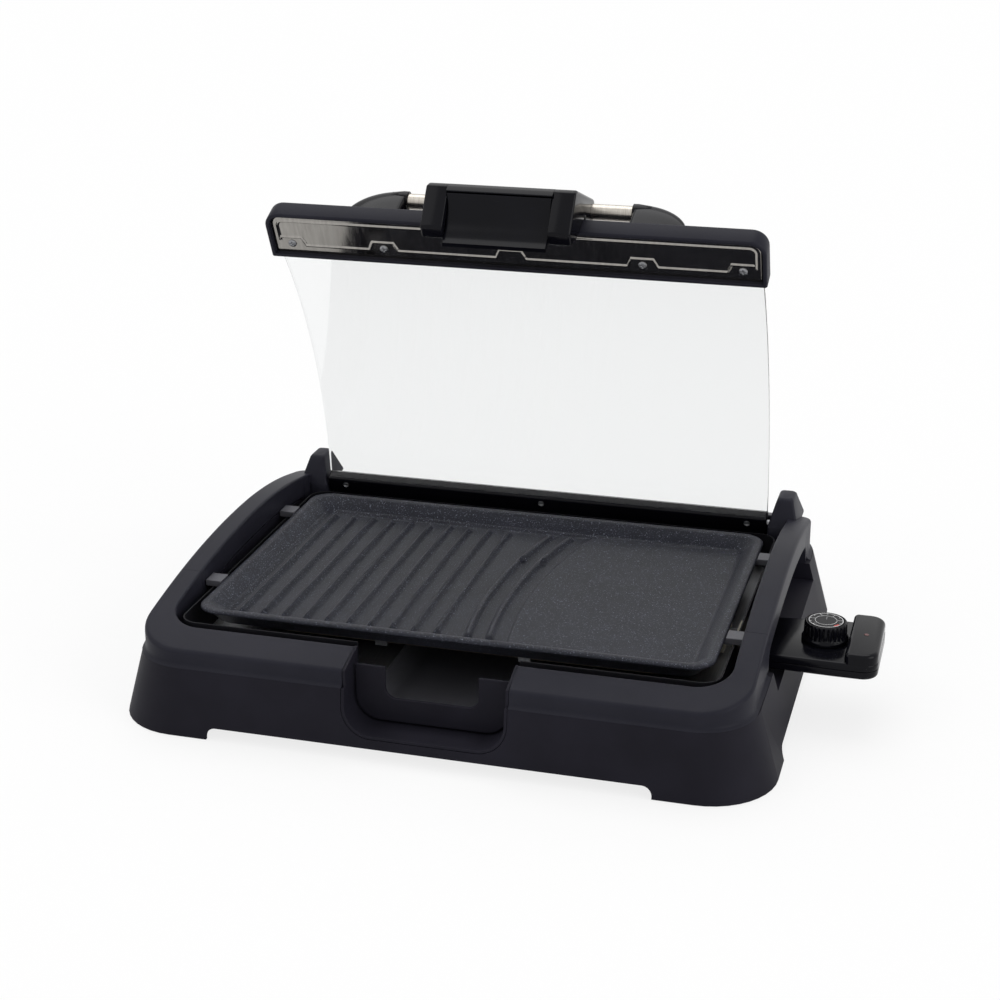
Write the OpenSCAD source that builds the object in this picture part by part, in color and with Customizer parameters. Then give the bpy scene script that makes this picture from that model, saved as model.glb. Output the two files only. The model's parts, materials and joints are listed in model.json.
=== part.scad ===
// Countertop electric grill with a curved glass lid, a lift-out cooking plate,
// a drip tray that pulls out at the front and a plug-in temperature control.
// Millimetres. Z is up, +X is the side of the control, -Y is the front.
// Lid pieces are drawn closed, in reach from the hinge and height over it,
// and are then swung up to the half-open position in which the grill is shown.

/* [Base] */
// Width of the base at the surface it stands on
base_w = 538; // [480:1:600]
// Depth of the base at the surface it stands on
base_d = 436; // [400:1:480]
// Corner radius of the base at the bottom
base_r = 56; // [45:1:70]
// How far the side walls lean in up to the parting line
side_draft = 16; // [8:1:20]
// How far the front and rear walls lean in up to the parting line
front_draft = 6; // [3:1:10]
// Wall thickness of the moulded shells
wall = 2.5; // [2:0.1:3.5]
// Height of the parting line between housing and rim
step_z = 58; // [54:1:62]
// Height of the cut-away between the corner feet
foot_h = 11; // [8:1:14]
// Length of each corner foot along the front
foot_len = 88; // [70:1:110]
// Height of the floor panel inside the housing
floor_z = 14; // [12:1:16]
// Height that the rubber pads lift the feet
pad_lift = 0.8; // [0.5:0.1:2]
// Radius of a rubber foot pad
pad_r = 9; // [7:0.5:12]

/* [Rim and handles] */
// Setback of the rim from the housing at the parting line
rim_step = 4; // [2:0.5:6]
// Corner radius of the rim outside
rim_r = 42; // [36:1:50]
// Width of the rim bars at the sides, which are the carrying handles
bar_w = 19.5; // [16:0.5:24]
// Depth of the sloping rim at the front
front_bar = 30; // [24:1:36]
// Depth of the cover at the rear
rear_bar = 35; // [30:1:42]
// Corner radius of the opening
opening_r = 28; // [20:1:34]
// Height of the highest point of the handle arches
crest_z = 106; // [100:1:112]
// Distance of that point behind the middle of the base
crest_y = 34; // [20:1:50]
// Radius of the arch in front of its highest point
front_arc = 870; // [800:10:1000]
// Radius of the arch behind its highest point
rear_arc = 530; // [500:10:600]
// Height of a handle bar
bar_h = 22; // [18:1:26]
// Place of the seam in front of each handle, from the front edge of the rim
seam_front = 104; // [90:1:120]
// Place of the seam behind each handle, from the rear edge of the rim
seam_rear = 62; // [50:1:75]
// Height of the ledge under each handle
ledge_z = 42.5; // [38:0.5:48]
// Clearance between mouldings that slide into each other
fit_gap = 0.3; // [0.2:0.05:0.5]

/* [Front recess and drip tray] */
// Width of the recess in the front
recess_w = 129; // [110:1:140]
// Height of the recess floor
recess_z = 21.5; // [20.5:0.5:25]
// Radius of the lower corners of the recess
recess_r = 22; // [16:1:26]
// Clearance between the tray and the recess all round
tray_gap = 2; // [1.5:0.1:3]
// Thickness of the tray front
tray_front_t = 2.5; // [2:0.1:4]
// Distance of the tray front behind the front edge of the rim
tray_setback = 18; // [16:0.5:19]
// Height of the two tabs of the tray front
tray_tab_z = 70; // [64:0.5:71]
// Width of the finger notch in the tray front
notch_w = 76; // [60:1:84]
// Height of the bottom of the finger notch
notch_z = 43.5; // [40:0.5:50]
// Width of the drip pan
pan_w = 112; // [90:1:116]
// Length of the drip pan
pan_len = 262; // [200:1:280]
// Depth of the drip pan
pan_h = 18; // [14:0.5:22]
// Sheet thickness of the drip pan
pan_t = 1.6; // [1.2:0.1:2]

/* [Cooking plate] */
// Width of the cooking plate
plate_w = 428; // [400:1:432]
// Depth of the cooking plate
plate_d = 286; // [270:1:290]
// Corner radius of the plate rim
plate_r = 20; // [14:1:26]
// Height of the plate rim
plate_z = 85.5; // [84:0.1:85.8]
// Depth of the plate from its rim to its cooking face
plate_deep = 12.5; // [10:0.5:14]
// Thickness of the plate floor
plate_t = 4; // [3:0.5:5]
// Slope of the plate walls, as a run on each side
plate_slope = 12; // [8:1:16]
// Number of straight ribs
rib_count = 10; // [6:1:11]
// Distance from one rib to the next
rib_pitch = 18.5; // [15:0.5:19]
// Height of a rib
rib_h = 4.5; // [3:0.5:6]
// Width of a rib at its foot
rib_w = 7; // [5:0.5:9]
// Radius of the curved divider between the two zones
divider_r = 560; // [480:10:700]
// Diameter of the heating tube
tube_d = 6.5; // [6:0.1:8]

/* [Lid] */
// Distance of the hinge axis behind the middle of the base
hinge_y = 160; // [155:0.5:162]
// Height of the hinge axis
hinge_z = 84; // [83.5:0.1:85]
// Angle that the lid stands open in the picture, from closed
open_deg = 65; // [60:1:80]
// Width of the glass
glass_w = 421; // [400:1:422]
// Thickness of the glass
glass_t = 4; // [3:0.5:5]
// Reach of the front edge of the glass from the hinge
glass_reach = 276; // [260:1:280]
// Rise of the glass above the line between its edges
glass_rise = 20; // [14:1:22]
// Width of the front frame
frame_w = 430; // [426:1:446]
// Reach of the front frame from the hinge
frame_reach = 318; // [300:1:318]
// Length of the front frame towards the hinge
frame_len = 46; // [44:1:60]
// Height of the front frame over the hinge axis
frame_top = 22; // [20:0.5:24]
// Thickness of the front frame
frame_t = 3.5; // [2.5:0.1:4]
// Height of the skirt of the front frame over the hinge axis
skirt_n = 2; // [2:0.1:4]
// Diameter of the steel handle tube
handle_d = 13.6; // [12:0.1:16]
// Wall of the handle tube
handle_wall = 1.2; // [0.8:0.1:2]
// Reach of the handle tube from the hinge
handle_reach = 306; // [300:1:308]
// Height of the handle tube over the hinge axis
handle_n = 46; // [42:1:50]
// Distance between the inner ends of the two handle arms
arm_gap = 198; // [190:1:210]
// Length of each handle arm along the frame
arm_len = 47; // [44:1:70]
// Width of the handle housing
grip_w = 126; // [116:1:126]
// Thickness of each cheek of the handle housing
cheek = 19; // [14:1:22]
// Diameter of the hinge pins
hinge_pin_d = 7; // [5:0.5:8]
// Radial running clearance of a pin or shaft
run_gap = 0.06; // [0.03:0.01:0.09]
// Width of a hinge ear at its foot
ear_w = 27; // [24:1:30]
// Width of a hinge ear at its top
ear_top_w = 14; // [10:1:18]
// Height of the top of a hinge ear
ear_z = 109; // [105:1:112]

/* [Control] */
// Distance of the control axis in front of the middle of the base
probe_front = 34; // [26:1:40]
// Reach of the control from the middle of the base
probe_reach = 332; // [320:1:345]
// Width of the control case
case_w = 84; // [70:1:90]
// Height of the underside of the control case
case_z = 51; // [48:0.5:53]
// Height of the deck that carries the knob
deck_z = 62; // [60:0.5:64]
// Height of the grip block at the end of the case
block_z = 72; // [70:0.5:76]
// Length of that grip block
block_len = 27; // [22:1:32]
// Diameter of the knob
knob_d = 38; // [32:1:42]
// Height of the knob
knob_h = 17.5; // [14:0.5:20]
// Distance of the knob axis from the middle of the base
knob_x = 286; // [282:1:290]
// Distance between the two contact pins
pin_pitch = 26; // [22:1:30]
// Diameter of a contact pin
contact_d = 4.4; // [4:0.1:5]
// Diameter of the temperature rod
rod_d = 6; // [5:0.5:7]

/* [Hidden] */
$fn = 48;
eps = 0.01;
far = 700;
arc_fn = 360;

top_w = base_w - 2 * side_draft;
top_d = base_d - 2 * front_draft;
top_r = base_r - front_draft;
rim_w = top_w - 2 * rim_step;
rim_d = top_d - 2 * rim_step;
rim_front = -rim_d / 2;
rim_rear = rim_d / 2;
open_w = rim_w - 2 * bar_w;
open_front = rim_front + front_bar;
open_rear = rim_rear - rear_bar;
open_mid = (open_front + open_rear) / 2;
open_d = open_rear - open_front;
seam_y0 = rim_front + seam_front;
seam_y1 = rim_rear - seam_rear;
leg = 9;
hand_y0 = seam_y0 + leg;
hand_y1 = seam_y1 - leg;
floor_top = floor_z + wall;
home_x = -(probe_reach - base_w / 2) / 2;
probe_y = -probe_front;
shell_t = 2;
probe_z = (case_z + shell_t + deck_z) / 2;

// Plan of a box with round corners, centred
module round_rect(w, d, r) {
    square([w - 2 * r, d], center = true);
    square([w, d - 2 * r], center = true);
    for (x = [-1, 1], y = [-1, 1])
        translate([x * (w / 2 - r), y * (d / 2 - r)]) circle(r);
}

// Round-cornered slab from z0, h high
module slab(w, d, r, z0, h) {
    translate([0, 0, z0]) linear_extrude(h) round_rect(w, d, r);
}

// Leaning-walled block between two round-cornered plans
module leaning(w0, d0, r0, z0, w1, d1, r1, z1) {
    hull() {
        slab(w0, d0, r0, z0, eps, $fn = 40);
        slab(w1, d1, r1, z1 - eps, eps, $fn = 40);
    }
}

// Everything below the arched top line of rim and handles, lowered by drop
module under_top(drop) {
    rotate([90, 0, 90]) linear_extrude(far, center = true) {
        intersection() {
            translate([crest_y, crest_z - front_arc])
                circle(front_arc - drop, $fn = arc_fn);
            translate([crest_y - far, -1]) square([far + eps, far]);
        }
        intersection() {
            translate([crest_y, crest_z - rear_arc])
                circle(rear_arc - drop, $fn = arc_fn);
            translate([crest_y, -1]) square([far, far]);
        }
    }
}

// Solid ring of the rim, drawn in by t on every face, from z0 up
module rim_ring(t, z0) {
    intersection() {
        difference() {
            slab(rim_w - 2 * t, rim_d - 2 * t, rim_r - t, z0, 60);
            translate([0, open_mid, 0])
                slab(open_w + 2 * t, open_d + 2 * t, opening_r + t, z0 - 1, 62);
        }
        under_top(t);
    }
}

module rim_shell() {
    difference() {
        rim_ring(0, step_z);
        rim_ring(wall, step_z - 1);
    }
}

// Box between two corners
module between(a, b) {
    translate(a) cube(b - a);
}

// Plan of the front recess: a slot with round lower corners, as a side view
module recess_plan(half, low, r) {
    translate([-half, low + r]) square([2 * half, 200]);
    translate([-half + r, low]) square([2 * (half - r), 200]);
    for (x = [-1, 1]) translate([x * (half - r), low + r]) circle(r);
}

// A view drawn in X and Z, from y0 back over a length
module along_y(y0, len) {
    translate([0, y0 + len, 0]) rotate([90, 0, 0]) linear_extrude(len) children();
}

module outer_wall() {
    leaning(base_w, base_d, base_r, pad_lift, top_w, top_d, top_r, step_z);
}

module inner_room() {
    leaning(base_w - 2 * wall, base_d - 2 * wall, base_r - wall, pad_lift - 1,
        top_w - 2 * wall, top_d - 2 * wall, top_r - wall, step_z + 1);
}

port_w = case_w - 32;
port_z0 = probe_z - 8;
port_z1 = probe_z + 7;
hand_x0 = open_w / 2;
foot_x = base_w / 2 - foot_len;
foot_y = base_d / 2 - foot_len;
boss_x = base_w / 2 - base_r + 4;
boss_y = base_d / 2 - base_r + 4;

// Side pocket under a handle, on the +X side: ledge, inner wall and two ends
module hand_pocket() {
    intersection() {
        outer_wall();
        union() {
            between([hand_x0, hand_y0 - wall, ledge_z - wall],
                [base_w / 2, hand_y1 + wall, ledge_z]);
            between([hand_x0, hand_y0 - wall, ledge_z - wall],
                [base_w / 2, hand_y0, step_z]);
            between([hand_x0, hand_y1, ledge_z - wall],
                [base_w / 2, hand_y1 + wall, step_z]);
        }
    }
    intersection() {
        union() {
            between([hand_x0, hand_y0 + fit_gap, ledge_z - wall],
                [hand_x0 + wall, hand_y1 - fit_gap, crest_z]);
            between([hand_x0, hand_y0 - wall, ledge_z - wall],
                [hand_x0 + wall, hand_y1 + wall, step_z]);
        }
        under_top(bar_h + fit_gap);
    }
}

module base_housing() {
    color("#232229") translate([home_x, 0, 0]) difference() {
        union() {
            difference() {
                outer_wall();
                inner_room();
                for (s = [0, 1]) mirror([s, 0, 0])
                    between([hand_x0, hand_y0, ledge_z], [base_w, hand_y1, far]);
            }
            intersection() {
                outer_wall();
                slab(base_w, base_d, base_r, floor_z, wall);
            }
            intersection() {
                outer_wall();
                difference() {
                    slab(top_w, top_d, top_r, step_z - wall, wall);
                    slab(rim_w - 12, rim_d - 12, rim_r - 6, step_z - wall - 1, 10);
                    for (s = [0, 1]) mirror([s, 0, 0])
                        between([hand_x0, hand_y0, ledge_z], [base_w, hand_y1, far]);
                }
            }
            for (s = [0, 1]) mirror([s, 0, 0]) hand_pocket();
            for (x = [-1, 1], y = [-1, 1]) translate([x * boss_x, y * boss_y, 4])
                cylinder(h = floor_z - 3, r = pad_r + 3);
        }
        for (x = [-1, 1], y = [-1, 1]) translate([x * boss_x, y * boss_y, 3])
            cylinder(h = 6, r = 3.05);
        along_y(-far / 2, far) foot_cut(foot_x);
        rotate([0, 0, 90]) along_y(-far / 2, far) foot_cut(foot_y);
        along_y(-base_d / 2 - 1, base_d / 2 + open_front + 1)
            recess_plan(recess_w / 2 + wall + fit_gap, recess_z - wall - fit_gap,
                recess_r + wall + fit_gap);
        between([hand_x0 - 1, probe_y - port_w / 2, port_z0],
            [hand_x0 + wall + 1, probe_y + port_w / 2, port_z1]);
        for (p = screw_places) translate([p[0], p[1], floor_z - 1])
            cylinder(h = 8, r = screw_r + run_gap);
        for (x = [-3:3], y = [-1, 1]) translate([x * 46, y * 118, floor_z - 1])
            linear_extrude(wall + 2) round_rect(28, 5, 2.4);
    }
}

// Outline cut away below the walls between two feet
module foot_cut(half) {
    translate([-half, -1]) square([2 * half, foot_h - 8]);
    translate([-half + 8, -1]) square([2 * half - 16, foot_h + 1]);
    for (x = [-1, 1]) translate([x * (half - 8), foot_h - 8]) circle(8);
    translate([-half, foot_h - 10]) square([2 * half, 2]);
}

module front_rim() {
    color("#32323a") translate([home_x, 0, 0]) difference() {
        intersection() {
            rim_shell();
            between([-far, -far, 0], [far, seam_y0, far]);
        }
        between([-recess_w / 2 - wall - fit_gap, -far, 0],
            [recess_w / 2 + wall + fit_gap, open_front + 1, far]);
    }
}

// Carrying handle on the +X side: an arched bar with a leg at each end
module handle_arch() {
    bar_wall = 3;
    difference() {
        intersection() {
            rim_ring(0, step_z);
            between([hand_x0 - 1, seam_y0 + fit_gap, 0], [far, seam_y1 - fit_gap, far]);
        }
        difference() {
            between([0, hand_y0, 0], [far, hand_y1, crest_z]);
            difference() {
                between([0, 0 - far, 0], [far, far, crest_z + 9]);
                under_top(bar_h);
            }
        }
        intersection() {
            rim_ring(bar_wall, step_z - 1);
            between([0, hand_y0, 0], [far, hand_y1, far]);
        }
    }
}

module left_handle_arch() {
    color("#34343a") translate([home_x, 0, 0]) mirror([1, 0, 0]) handle_arch();
}

module right_handle_arch() {
    color("#34343a") translate([home_x, 0, 0]) handle_arch();
}

module rear_cover() {
    color("#2c2c32") translate([home_x, 0, 0]) intersection() {
        rim_shell();
        between([-far, seam_y1, 0], [far, far, far]);
    }
}

module front_recess() {
    color("#26252c") translate([home_x, 0, 0]) intersection() {
        difference() {
            along_y(-base_d / 2, base_d / 2 + open_front)
                recess_plan(recess_w / 2 + wall, recess_z - wall, recess_r + wall);
            along_y(-base_d / 2 - 1, base_d / 2 + open_front + 2)
                recess_plan(recess_w / 2, recess_z, recess_r);
        }
        union() {
            outer_wall();
            slab(rim_w, rim_d, rim_r, step_z - eps, 60);
        }
        under_top(0);
    }
}

ear_x0 = glass_w / 2 + 1.5;
ear_y0 = hinge_y - 11;
ear_y1 = hinge_y + 40;

// Hinge ear on the +X side: a block in the opening under a wedge on the cover
module hinge_ear() {
    difference() {
        union() {
            between([ear_x0, ear_y0, step_z + 14],
                [open_w / 2 - fit_gap, open_rear - fit_gap, hinge_z + 1]);
            hull() {
                between([ear_x0, ear_y0, hinge_z], [ear_x0 + ear_w, ear_y1, hinge_z + 1]);
                between([ear_x0 + (ear_w - ear_top_w) / 2, ear_y0 + 12, ear_z - 1],
                    [ear_x0 + (ear_w + ear_top_w) / 2, ear_y1 - 14, ear_z]);
            }
        }
        intersection() {
            difference() {
                slab(rim_w, rim_d, rim_r, step_z, 60);
                translate([0, open_mid, 0]) slab(open_w - 2 * fit_gap,
                    open_d - 2 * fit_gap, opening_r - fit_gap, step_z - 1, 62);
            }
            under_top(-fit_gap);
        }
        translate([ear_x0 - 1, hinge_y, hinge_z]) rotate([0, 90, 0])
            cylinder(h = pin_out + 1, d = hinge_pin_d);
    }
}

module left_hinge_ear() {
    color("#222228") translate([home_x, 0, 0]) mirror([1, 0, 0]) hinge_ear();
}

module right_hinge_ear() {
    color("#222228") translate([home_x, 0, 0]) hinge_ear();
}

pin_in = 15;
pin_out = 8;
module hinge_pins() {
    color("#9a9a9c") translate([home_x, 0, 0]) for (s = [0, 1]) mirror([s, 0, 0])
        translate([ear_x0 - pin_in, hinge_y, hinge_z]) rotate([0, 90, 0])
            cylinder(h = pin_in + pin_out, d = hinge_pin_d);
}

liner_w = 444;
liner_y0 = open_front + 6;
liner_y1 = hinge_y - 16;
liner_t = 1.2;
liner_top = 80;
liner_h = liner_top - floor_top;
flange = 12;
screw_r = 1.6;
screw_places = [for (x = [-1, 1], y = [liner_y0 + 40, 0, liner_y1 - 30])
    [x * (liner_w / 2 - flange / 2), y]];

module inner_liner() {
    mid = (liner_y0 + liner_y1) / 2;
    deep = liner_y1 - liner_y0;
    color("#1b1b20") translate([home_x, 0, 0]) difference() {
        union() {
            translate([0, mid, 0]) difference() {
                slab(liner_w, deep, 16, floor_top, liner_h);
                slab(liner_w - 2 * liner_t, deep - 2 * liner_t, 16 - liner_t,
                    floor_top - 1, liner_h + 2);
            }
            for (x = [-1, 1]) translate([x * (liner_w - flange) / 2, mid, floor_top])
                translate([-flange / 2, -deep / 2 + 16, 0])
                    cube([flange, deep - 32, liner_t]);
        }
        between([-recess_w / 2 - 2, liner_y0 - 1, floor_top + 4],
            [recess_w / 2 + 2, liner_y0 + 3, liner_top + 1]);
        between([liner_w / 2 - 4, probe_y - port_w / 2, port_z0],
            [liner_w / 2 + 1, probe_y + port_w / 2, port_z1]);
        for (p = screw_places) translate([p[0], p[1], floor_top - 1])
            cylinder(h = 4, r = screw_r + run_gap);
    }
}

module liner_screws() {
    color("#8b8b8e") translate([home_x, 0, 0]) for (p = screw_places)
        translate([p[0], p[1], 0]) {
            translate([0, 0, floor_z - 2]) cylinder(h = 2, r = 3.4);
            translate([0, 0, floor_z - eps]) cylinder(h = 7, r = screw_r);
        }
}

shield_z = 48;
shield_t = 0.8;
shield_gap_w = pan_w - 12;
module heat_shield() {
    mid = (liner_y0 + liner_y1) / 2;
    w = liner_w - 2 * liner_t;
    d = liner_y1 - liner_y0 - 2 * liner_t;
    color("#a7a8aa") translate([home_x, 0, 0]) difference() {
        translate([0, mid, 0]) union() {
            slab(w, d, 15.2, shield_z, shield_t);
            for (x = [-1, 1], y = [-1, 1]) translate([x * 150, y * 90, floor_top])
                cylinder(h = shield_z - floor_top + eps, r = 4);
        }
        translate([0, liner_y0 + 96, shield_z - 1]) linear_extrude(4)
            round_rect(shield_gap_w, 216, 8);
    }
}

rest_places = [for (x = [-1, 1], y = [-91, 77]) [x, y]];
rest_gap = 0.3;
module plate_rests() {
    color("#77787a") translate([home_x, 0, 0]) for (p = rest_places)
        mirror([p[0] < 0 ? 1 : 0, 0, 0]) {
            between([plate_w / 2 - 4.2, p[1] - 8, liner_top],
                [open_w / 2 - 1, p[1] + 8, plate_z - rim_lip - rest_gap]);
            between([plate_w / 2 + 0.6, p[1] - 8, liner_top],
                [open_w / 2 - 1, p[1] + 8, plate_z]);
        }
}

pan_z = recess_z + tray_gap;
runner_h = pan_z - floor_top;
module tray_runners() {
    color("#2b2b30") translate([home_x, 0, 0]) for (s = [0, 1]) mirror([s, 0, 0]) {
        between([pan_w / 2 - 22, open_front + 12, floor_top], [pan_w / 2 + 5, 96, pan_z]);
        between([pan_w / 2 + 1, open_front + 12, floor_top], [pan_w / 2 + 5, 96, pan_z + 8]);
    }
}

module foot_pads() {
    color("#151518") translate([home_x, 0, 0])
        for (x = [-1, 1], y = [-1, 1]) translate([x * boss_x, y * boss_y, 0]) {
            cylinder(h = 4, r = pad_r);
            cylinder(h = 8, r = 3);
        }
}

plate_y0 = hinge_y - frame_reach;
plate_mid = plate_y0 + plate_d / 2;
rim_lip = 3.2;
cook_z = plate_z - plate_deep;
cook_w = plate_w - 12 - 2 * plate_slope;
cook_d = plate_d - 12 - 2 * plate_slope;
divider_x = 26;
divider_y = -46;
flat_z = 1.5;
rib_x0 = -cook_w / 2 + 12;

module rib(len) {
    rotate([90, 0, 0]) linear_extrude(len, center = true)
        polygon([[-rib_w / 2, -eps], [rib_w / 2, -eps], [rib_w / 4, rib_h * 0.8],
            [rib_w / 8, rib_h], [-rib_w / 8, rib_h], [-rib_w / 4, rib_h * 0.8]]);
}

// Curved ridge that follows the divider, out from it by d
module ridge(d) {
    intersection() {
        translate([divider_x + divider_r, divider_y, cook_z - eps])
            linear_extrude(rib_h) difference() {
                circle(divider_r + d + 2.6, $fn = arc_fn);
                circle(divider_r + d - 2.6, $fn = arc_fn);
            }
        translate([0, plate_mid, 0])
            between([-60, -cook_d / 2 + 8, 0], [90, cook_d / 2 - 8, 100]);
    }
}

module grill_plate() {
    color("#33353f") translate([home_x, 0, 0]) difference() {
        union() {
            translate([0, plate_mid, 0]) {
                difference() {
                    union() {
                        leaning(cook_w + 6, cook_d + 6, plate_r - 8, cook_z - plate_t,
                            plate_w - 4, plate_d - 4, plate_r - 2, plate_z - 0.1);
                        slab(plate_w, plate_d, plate_r, plate_z - rim_lip, rim_lip);
                    }
                    leaning(cook_w, cook_d, plate_r - 10, cook_z,
                        plate_w - 10, plate_d - 10, plate_r - 5, plate_z + 0.1);
                }
                for (i = [0:rib_count - 1])
                    translate([rib_x0 + i * rib_pitch, 0, cook_z])
                        rib(cook_d - (i % 2) * 6 - 14);
            }
            intersection() {
                translate([divider_x + divider_r, divider_y, cook_z - eps])
                    linear_extrude(flat_z) circle(divider_r - 12, $fn = arc_fn);
                translate([0, plate_mid, 0]) slab(cook_w - 4, cook_d - 4, 8, 0, 100);
            }
            ridge(3);
            ridge(21);
        }
        for (x = [divider_x - 25, divider_x - 6, divider_x + 14])
            translate([x, plate_y0 + 30, cook_z - plate_t - 1])
                linear_extrude(plate_t + 4) round_rect(9, 6, 2.9);
        for (p = [[-12, 36], [7, 36], [-12, -52]])
            translate([divider_x + p[0], p[1], cook_z - plate_t - 1])
                linear_extrude(plate_t + 4) round_rect(6, 12, 2.9);
    }
}

// Points of a route with each corner rounded by radius r, n points a corner
function unit(v) = v / norm(v);
function corner(a, b, c, r, n) =
    let (u = unit(a - b), v = unit(c - b), h = acos(u * v) / 2,
        cut = r / tan(h), mid = b + unit(u + v) * r / sin(h),
        p = b + u * cut, q = b + v * cut)
    [for (i = [0:n]) mid + r * unit((p - mid) * (1 - i / n) + (q - mid) * (i / n))];
function route(pts, r, n) = concat(
    [pts[0]],
    [for (i = [1:len(pts) - 2]) each corner(pts[i - 1], pts[i], pts[i + 1], r, n)],
    [pts[len(pts) - 1]]);

// Round tube swept along flat points, with its ends closed
module swept(points, r, sides) {
    n = len(points);
    rings = [for (i = [0:n - 1])
        let (a = points[max(i - 1, 0)], b = points[min(i + 1, n - 1)], t = unit(b - a),
            s = [-t[1], t[0], 0])
        for (k = [0:sides - 1])
            points[i] + r * (s * cos(360 * k / sides) + [0, 0, 1] * sin(360 * k / sides))];
    polyhedron(rings, concat(
        [for (i = [0:n - 2], k = [0:sides - 1])
            let (j = (k + 1) % sides)
            [i * sides + k, (i + 1) * sides + k, (i + 1) * sides + j, i * sides + j]],
        [[for (k = [0:sides - 1]) k]],
        [[for (k = [0:sides - 1]) n * sides - 1 - k]]));
}

tube_z = cook_z - plate_t - tube_d / 2 - 0.05;
block_x0 = 190;
block_x1 = 207;
lead_y = pin_pitch / 2;
loop_x = 150;
loop_y = 96;
element_points = [for (p = [[block_x0, -lead_y], [110, -lead_y], [110, -loop_y + 46],
        [loop_x + 22, -loop_y + 46], [loop_x + 22, -loop_y], [-loop_x, -loop_y],
        [-loop_x, loop_y], [loop_x + 22, loop_y], [loop_x + 22, lead_y + 22],
        [110, lead_y + 22], [110, lead_y], [block_x0, lead_y]])
    [p[0], p[1] + probe_y, tube_z]];
module heating_element() {
    color("#6d665f") translate([home_x, 0, 0])
        swept(route(element_points, 10, 5), tube_d / 2, 10);
}

clip_places = [[-loop_x, -40, 0], [-loop_x, 30, 0], [-60, -loop_y, 90], [60, -loop_y, 90],
    [-60, loop_y, 90], [60, loop_y, 90]];
module element_clips() {
    clip_w = tube_d + 4;
    color("#8f9092") translate([home_x, 0, 0]) for (c = clip_places)
        translate([c[0], c[1] + probe_y, 0]) rotate([0, 0, c[2]]) difference() {
            between([-clip_w / 2, -5, tube_z - tube_d / 2 - 1.2],
                [clip_w / 2, 5, cook_z - plate_t]);
            between([-tube_d / 2 - 0.1, -6, tube_z - tube_d / 2 - 0.1],
                [tube_d / 2 + 0.1, 6, cook_z]);
        }
}

module terminal_block() {
    color("#d9d4c8") translate([home_x, 0, 0]) difference() {
        between([block_x0 - 8, probe_y - pin_pitch / 2 - 8, probe_z - 6],
            [block_x1, probe_y + pin_pitch / 2 + 8, cook_z - plate_t]);
        for (s = [-1, 1]) {
            translate([block_x0 - 9, probe_y + s * lead_y, tube_z]) rotate([0, 90, 0])
                cylinder(h = 10, d = tube_d + 0.4);
            translate([block_x0 + 4, probe_y + s * lead_y, probe_z]) rotate([0, 90, 0])
                cylinder(h = 20, d = contact_d);
        }
        translate([block_x0 - 9, probe_y, probe_z]) rotate([0, 90, 0])
            cylinder(h = 40, d = rod_d + 1.2);
    }
}

pin_tip = 226;
module contact_pins() {
    color("#b9b6ad") translate([home_x, 0, 0]) for (s = [-1, 1])
        translate([block_x0 + 4, probe_y + s * lead_y, probe_z]) rotate([0, 90, 0]) {
            cylinder(h = pin_tip - block_x0 - 6, d = contact_d);
            translate([0, 0, pin_tip - block_x0 - 6 - eps])
                cylinder(h = 2, d1 = contact_d, d2 = contact_d - 2);
        }
}

tray_y1 = rim_front + tray_setback + tray_front_t;
module drip_pan() {
    color("#4a494b") translate([home_x, 0, 0]) difference() {
        along_y(tray_y1, pan_len) intersection() {
            recess_plan(pan_w / 2, pan_z, 14);
            translate([-far / 2, 0]) square([far, pan_z + pan_h]);
        }
        along_y(tray_y1 + pan_t, pan_len - 2 * pan_t)
            recess_plan(pan_w / 2 - pan_t, pan_z + pan_t, 14 - pan_t);
    }
}

module tray_front() {
    half = recess_w / 2 - tray_gap;
    color("#26252b") translate([home_x, 0, 0]) along_y(tray_y1 - tray_front_t, tray_front_t)
        difference() {
            intersection() {
                recess_plan(half, pan_z, recess_r - tray_gap);
                translate([-far / 2, 0]) square([far, tray_tab_z]);
            }
            recess_plan(notch_w / 2, notch_z, 9);
        }
}

// Lid pieces: reach runs from the hinge to the front, n is height over it
module on_lid() {
    translate([home_x, hinge_y, hinge_z]) rotate([-open_deg, 0, 0]) children();
}

// A section drawn as [reach, n], w wide
module across(w) {
    rotate([90, 0, -90]) linear_extrude(w, center = true) children();
}

g0 = [6, 2];
g1 = [glass_reach, 12.6];
g_chord = norm(g1 - g0);
g_r = g_chord * g_chord / (8 * glass_rise) + glass_rise / 2;
g_up = unit([-(g1 - g0)[1], (g1 - g0)[0]]);
g_mid = (g0 + g1) / 2 - g_up * (g_r - glass_rise);

// Section of the glass, thicker by grow on each face
module glass_section(grow, reach0, reach1) {
    intersection() {
        translate(g_mid) difference() {
            circle(g_r + glass_t / 2 + grow, $fn = arc_fn);
            circle(g_r - glass_t / 2 - grow, $fn = arc_fn);
        }
        translate([reach0, -40]) square([reach1 - reach0, 120]);
    }
}

module lid_glass() {
    color("#e6e8ea", 0.5) on_lid() across(glass_w) glass_section(0, g0[0], glass_reach);
}

strip_n0 = 6;
strip_n1 = 9;
frame_in = frame_reach - frame_t;
frame_low = frame_top - frame_t;
module glass_seal() {
    color("#1a1a1c") on_lid() across(glass_w) difference() {
        translate([frame_reach - frame_len + 2, strip_n1])
            square([glass_reach + 2 - frame_reach + frame_len, frame_low - strip_n1]);
        glass_section(0.05, 0, glass_reach + 0.1);
    }
}

strip_screw_x = [-195, -112, 112, 195];
strip_screw_reach = glass_reach + 9;
// Plan of the frame: straight at the glass, round corners at the front
module frame_plan(t) {
    len = frame_len - t;
    r = 14 - t;
    w = frame_w - 2 * t;
    translate([-w / 2, -frame_reach + t + r]) square([w, len - r]);
    translate([-w / 2 + r, -frame_reach + t]) square([w - 2 * r, len]);
    for (x = [-1, 1]) translate([x * (w / 2 - r), -frame_reach + t + r]) circle(r);
}

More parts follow.
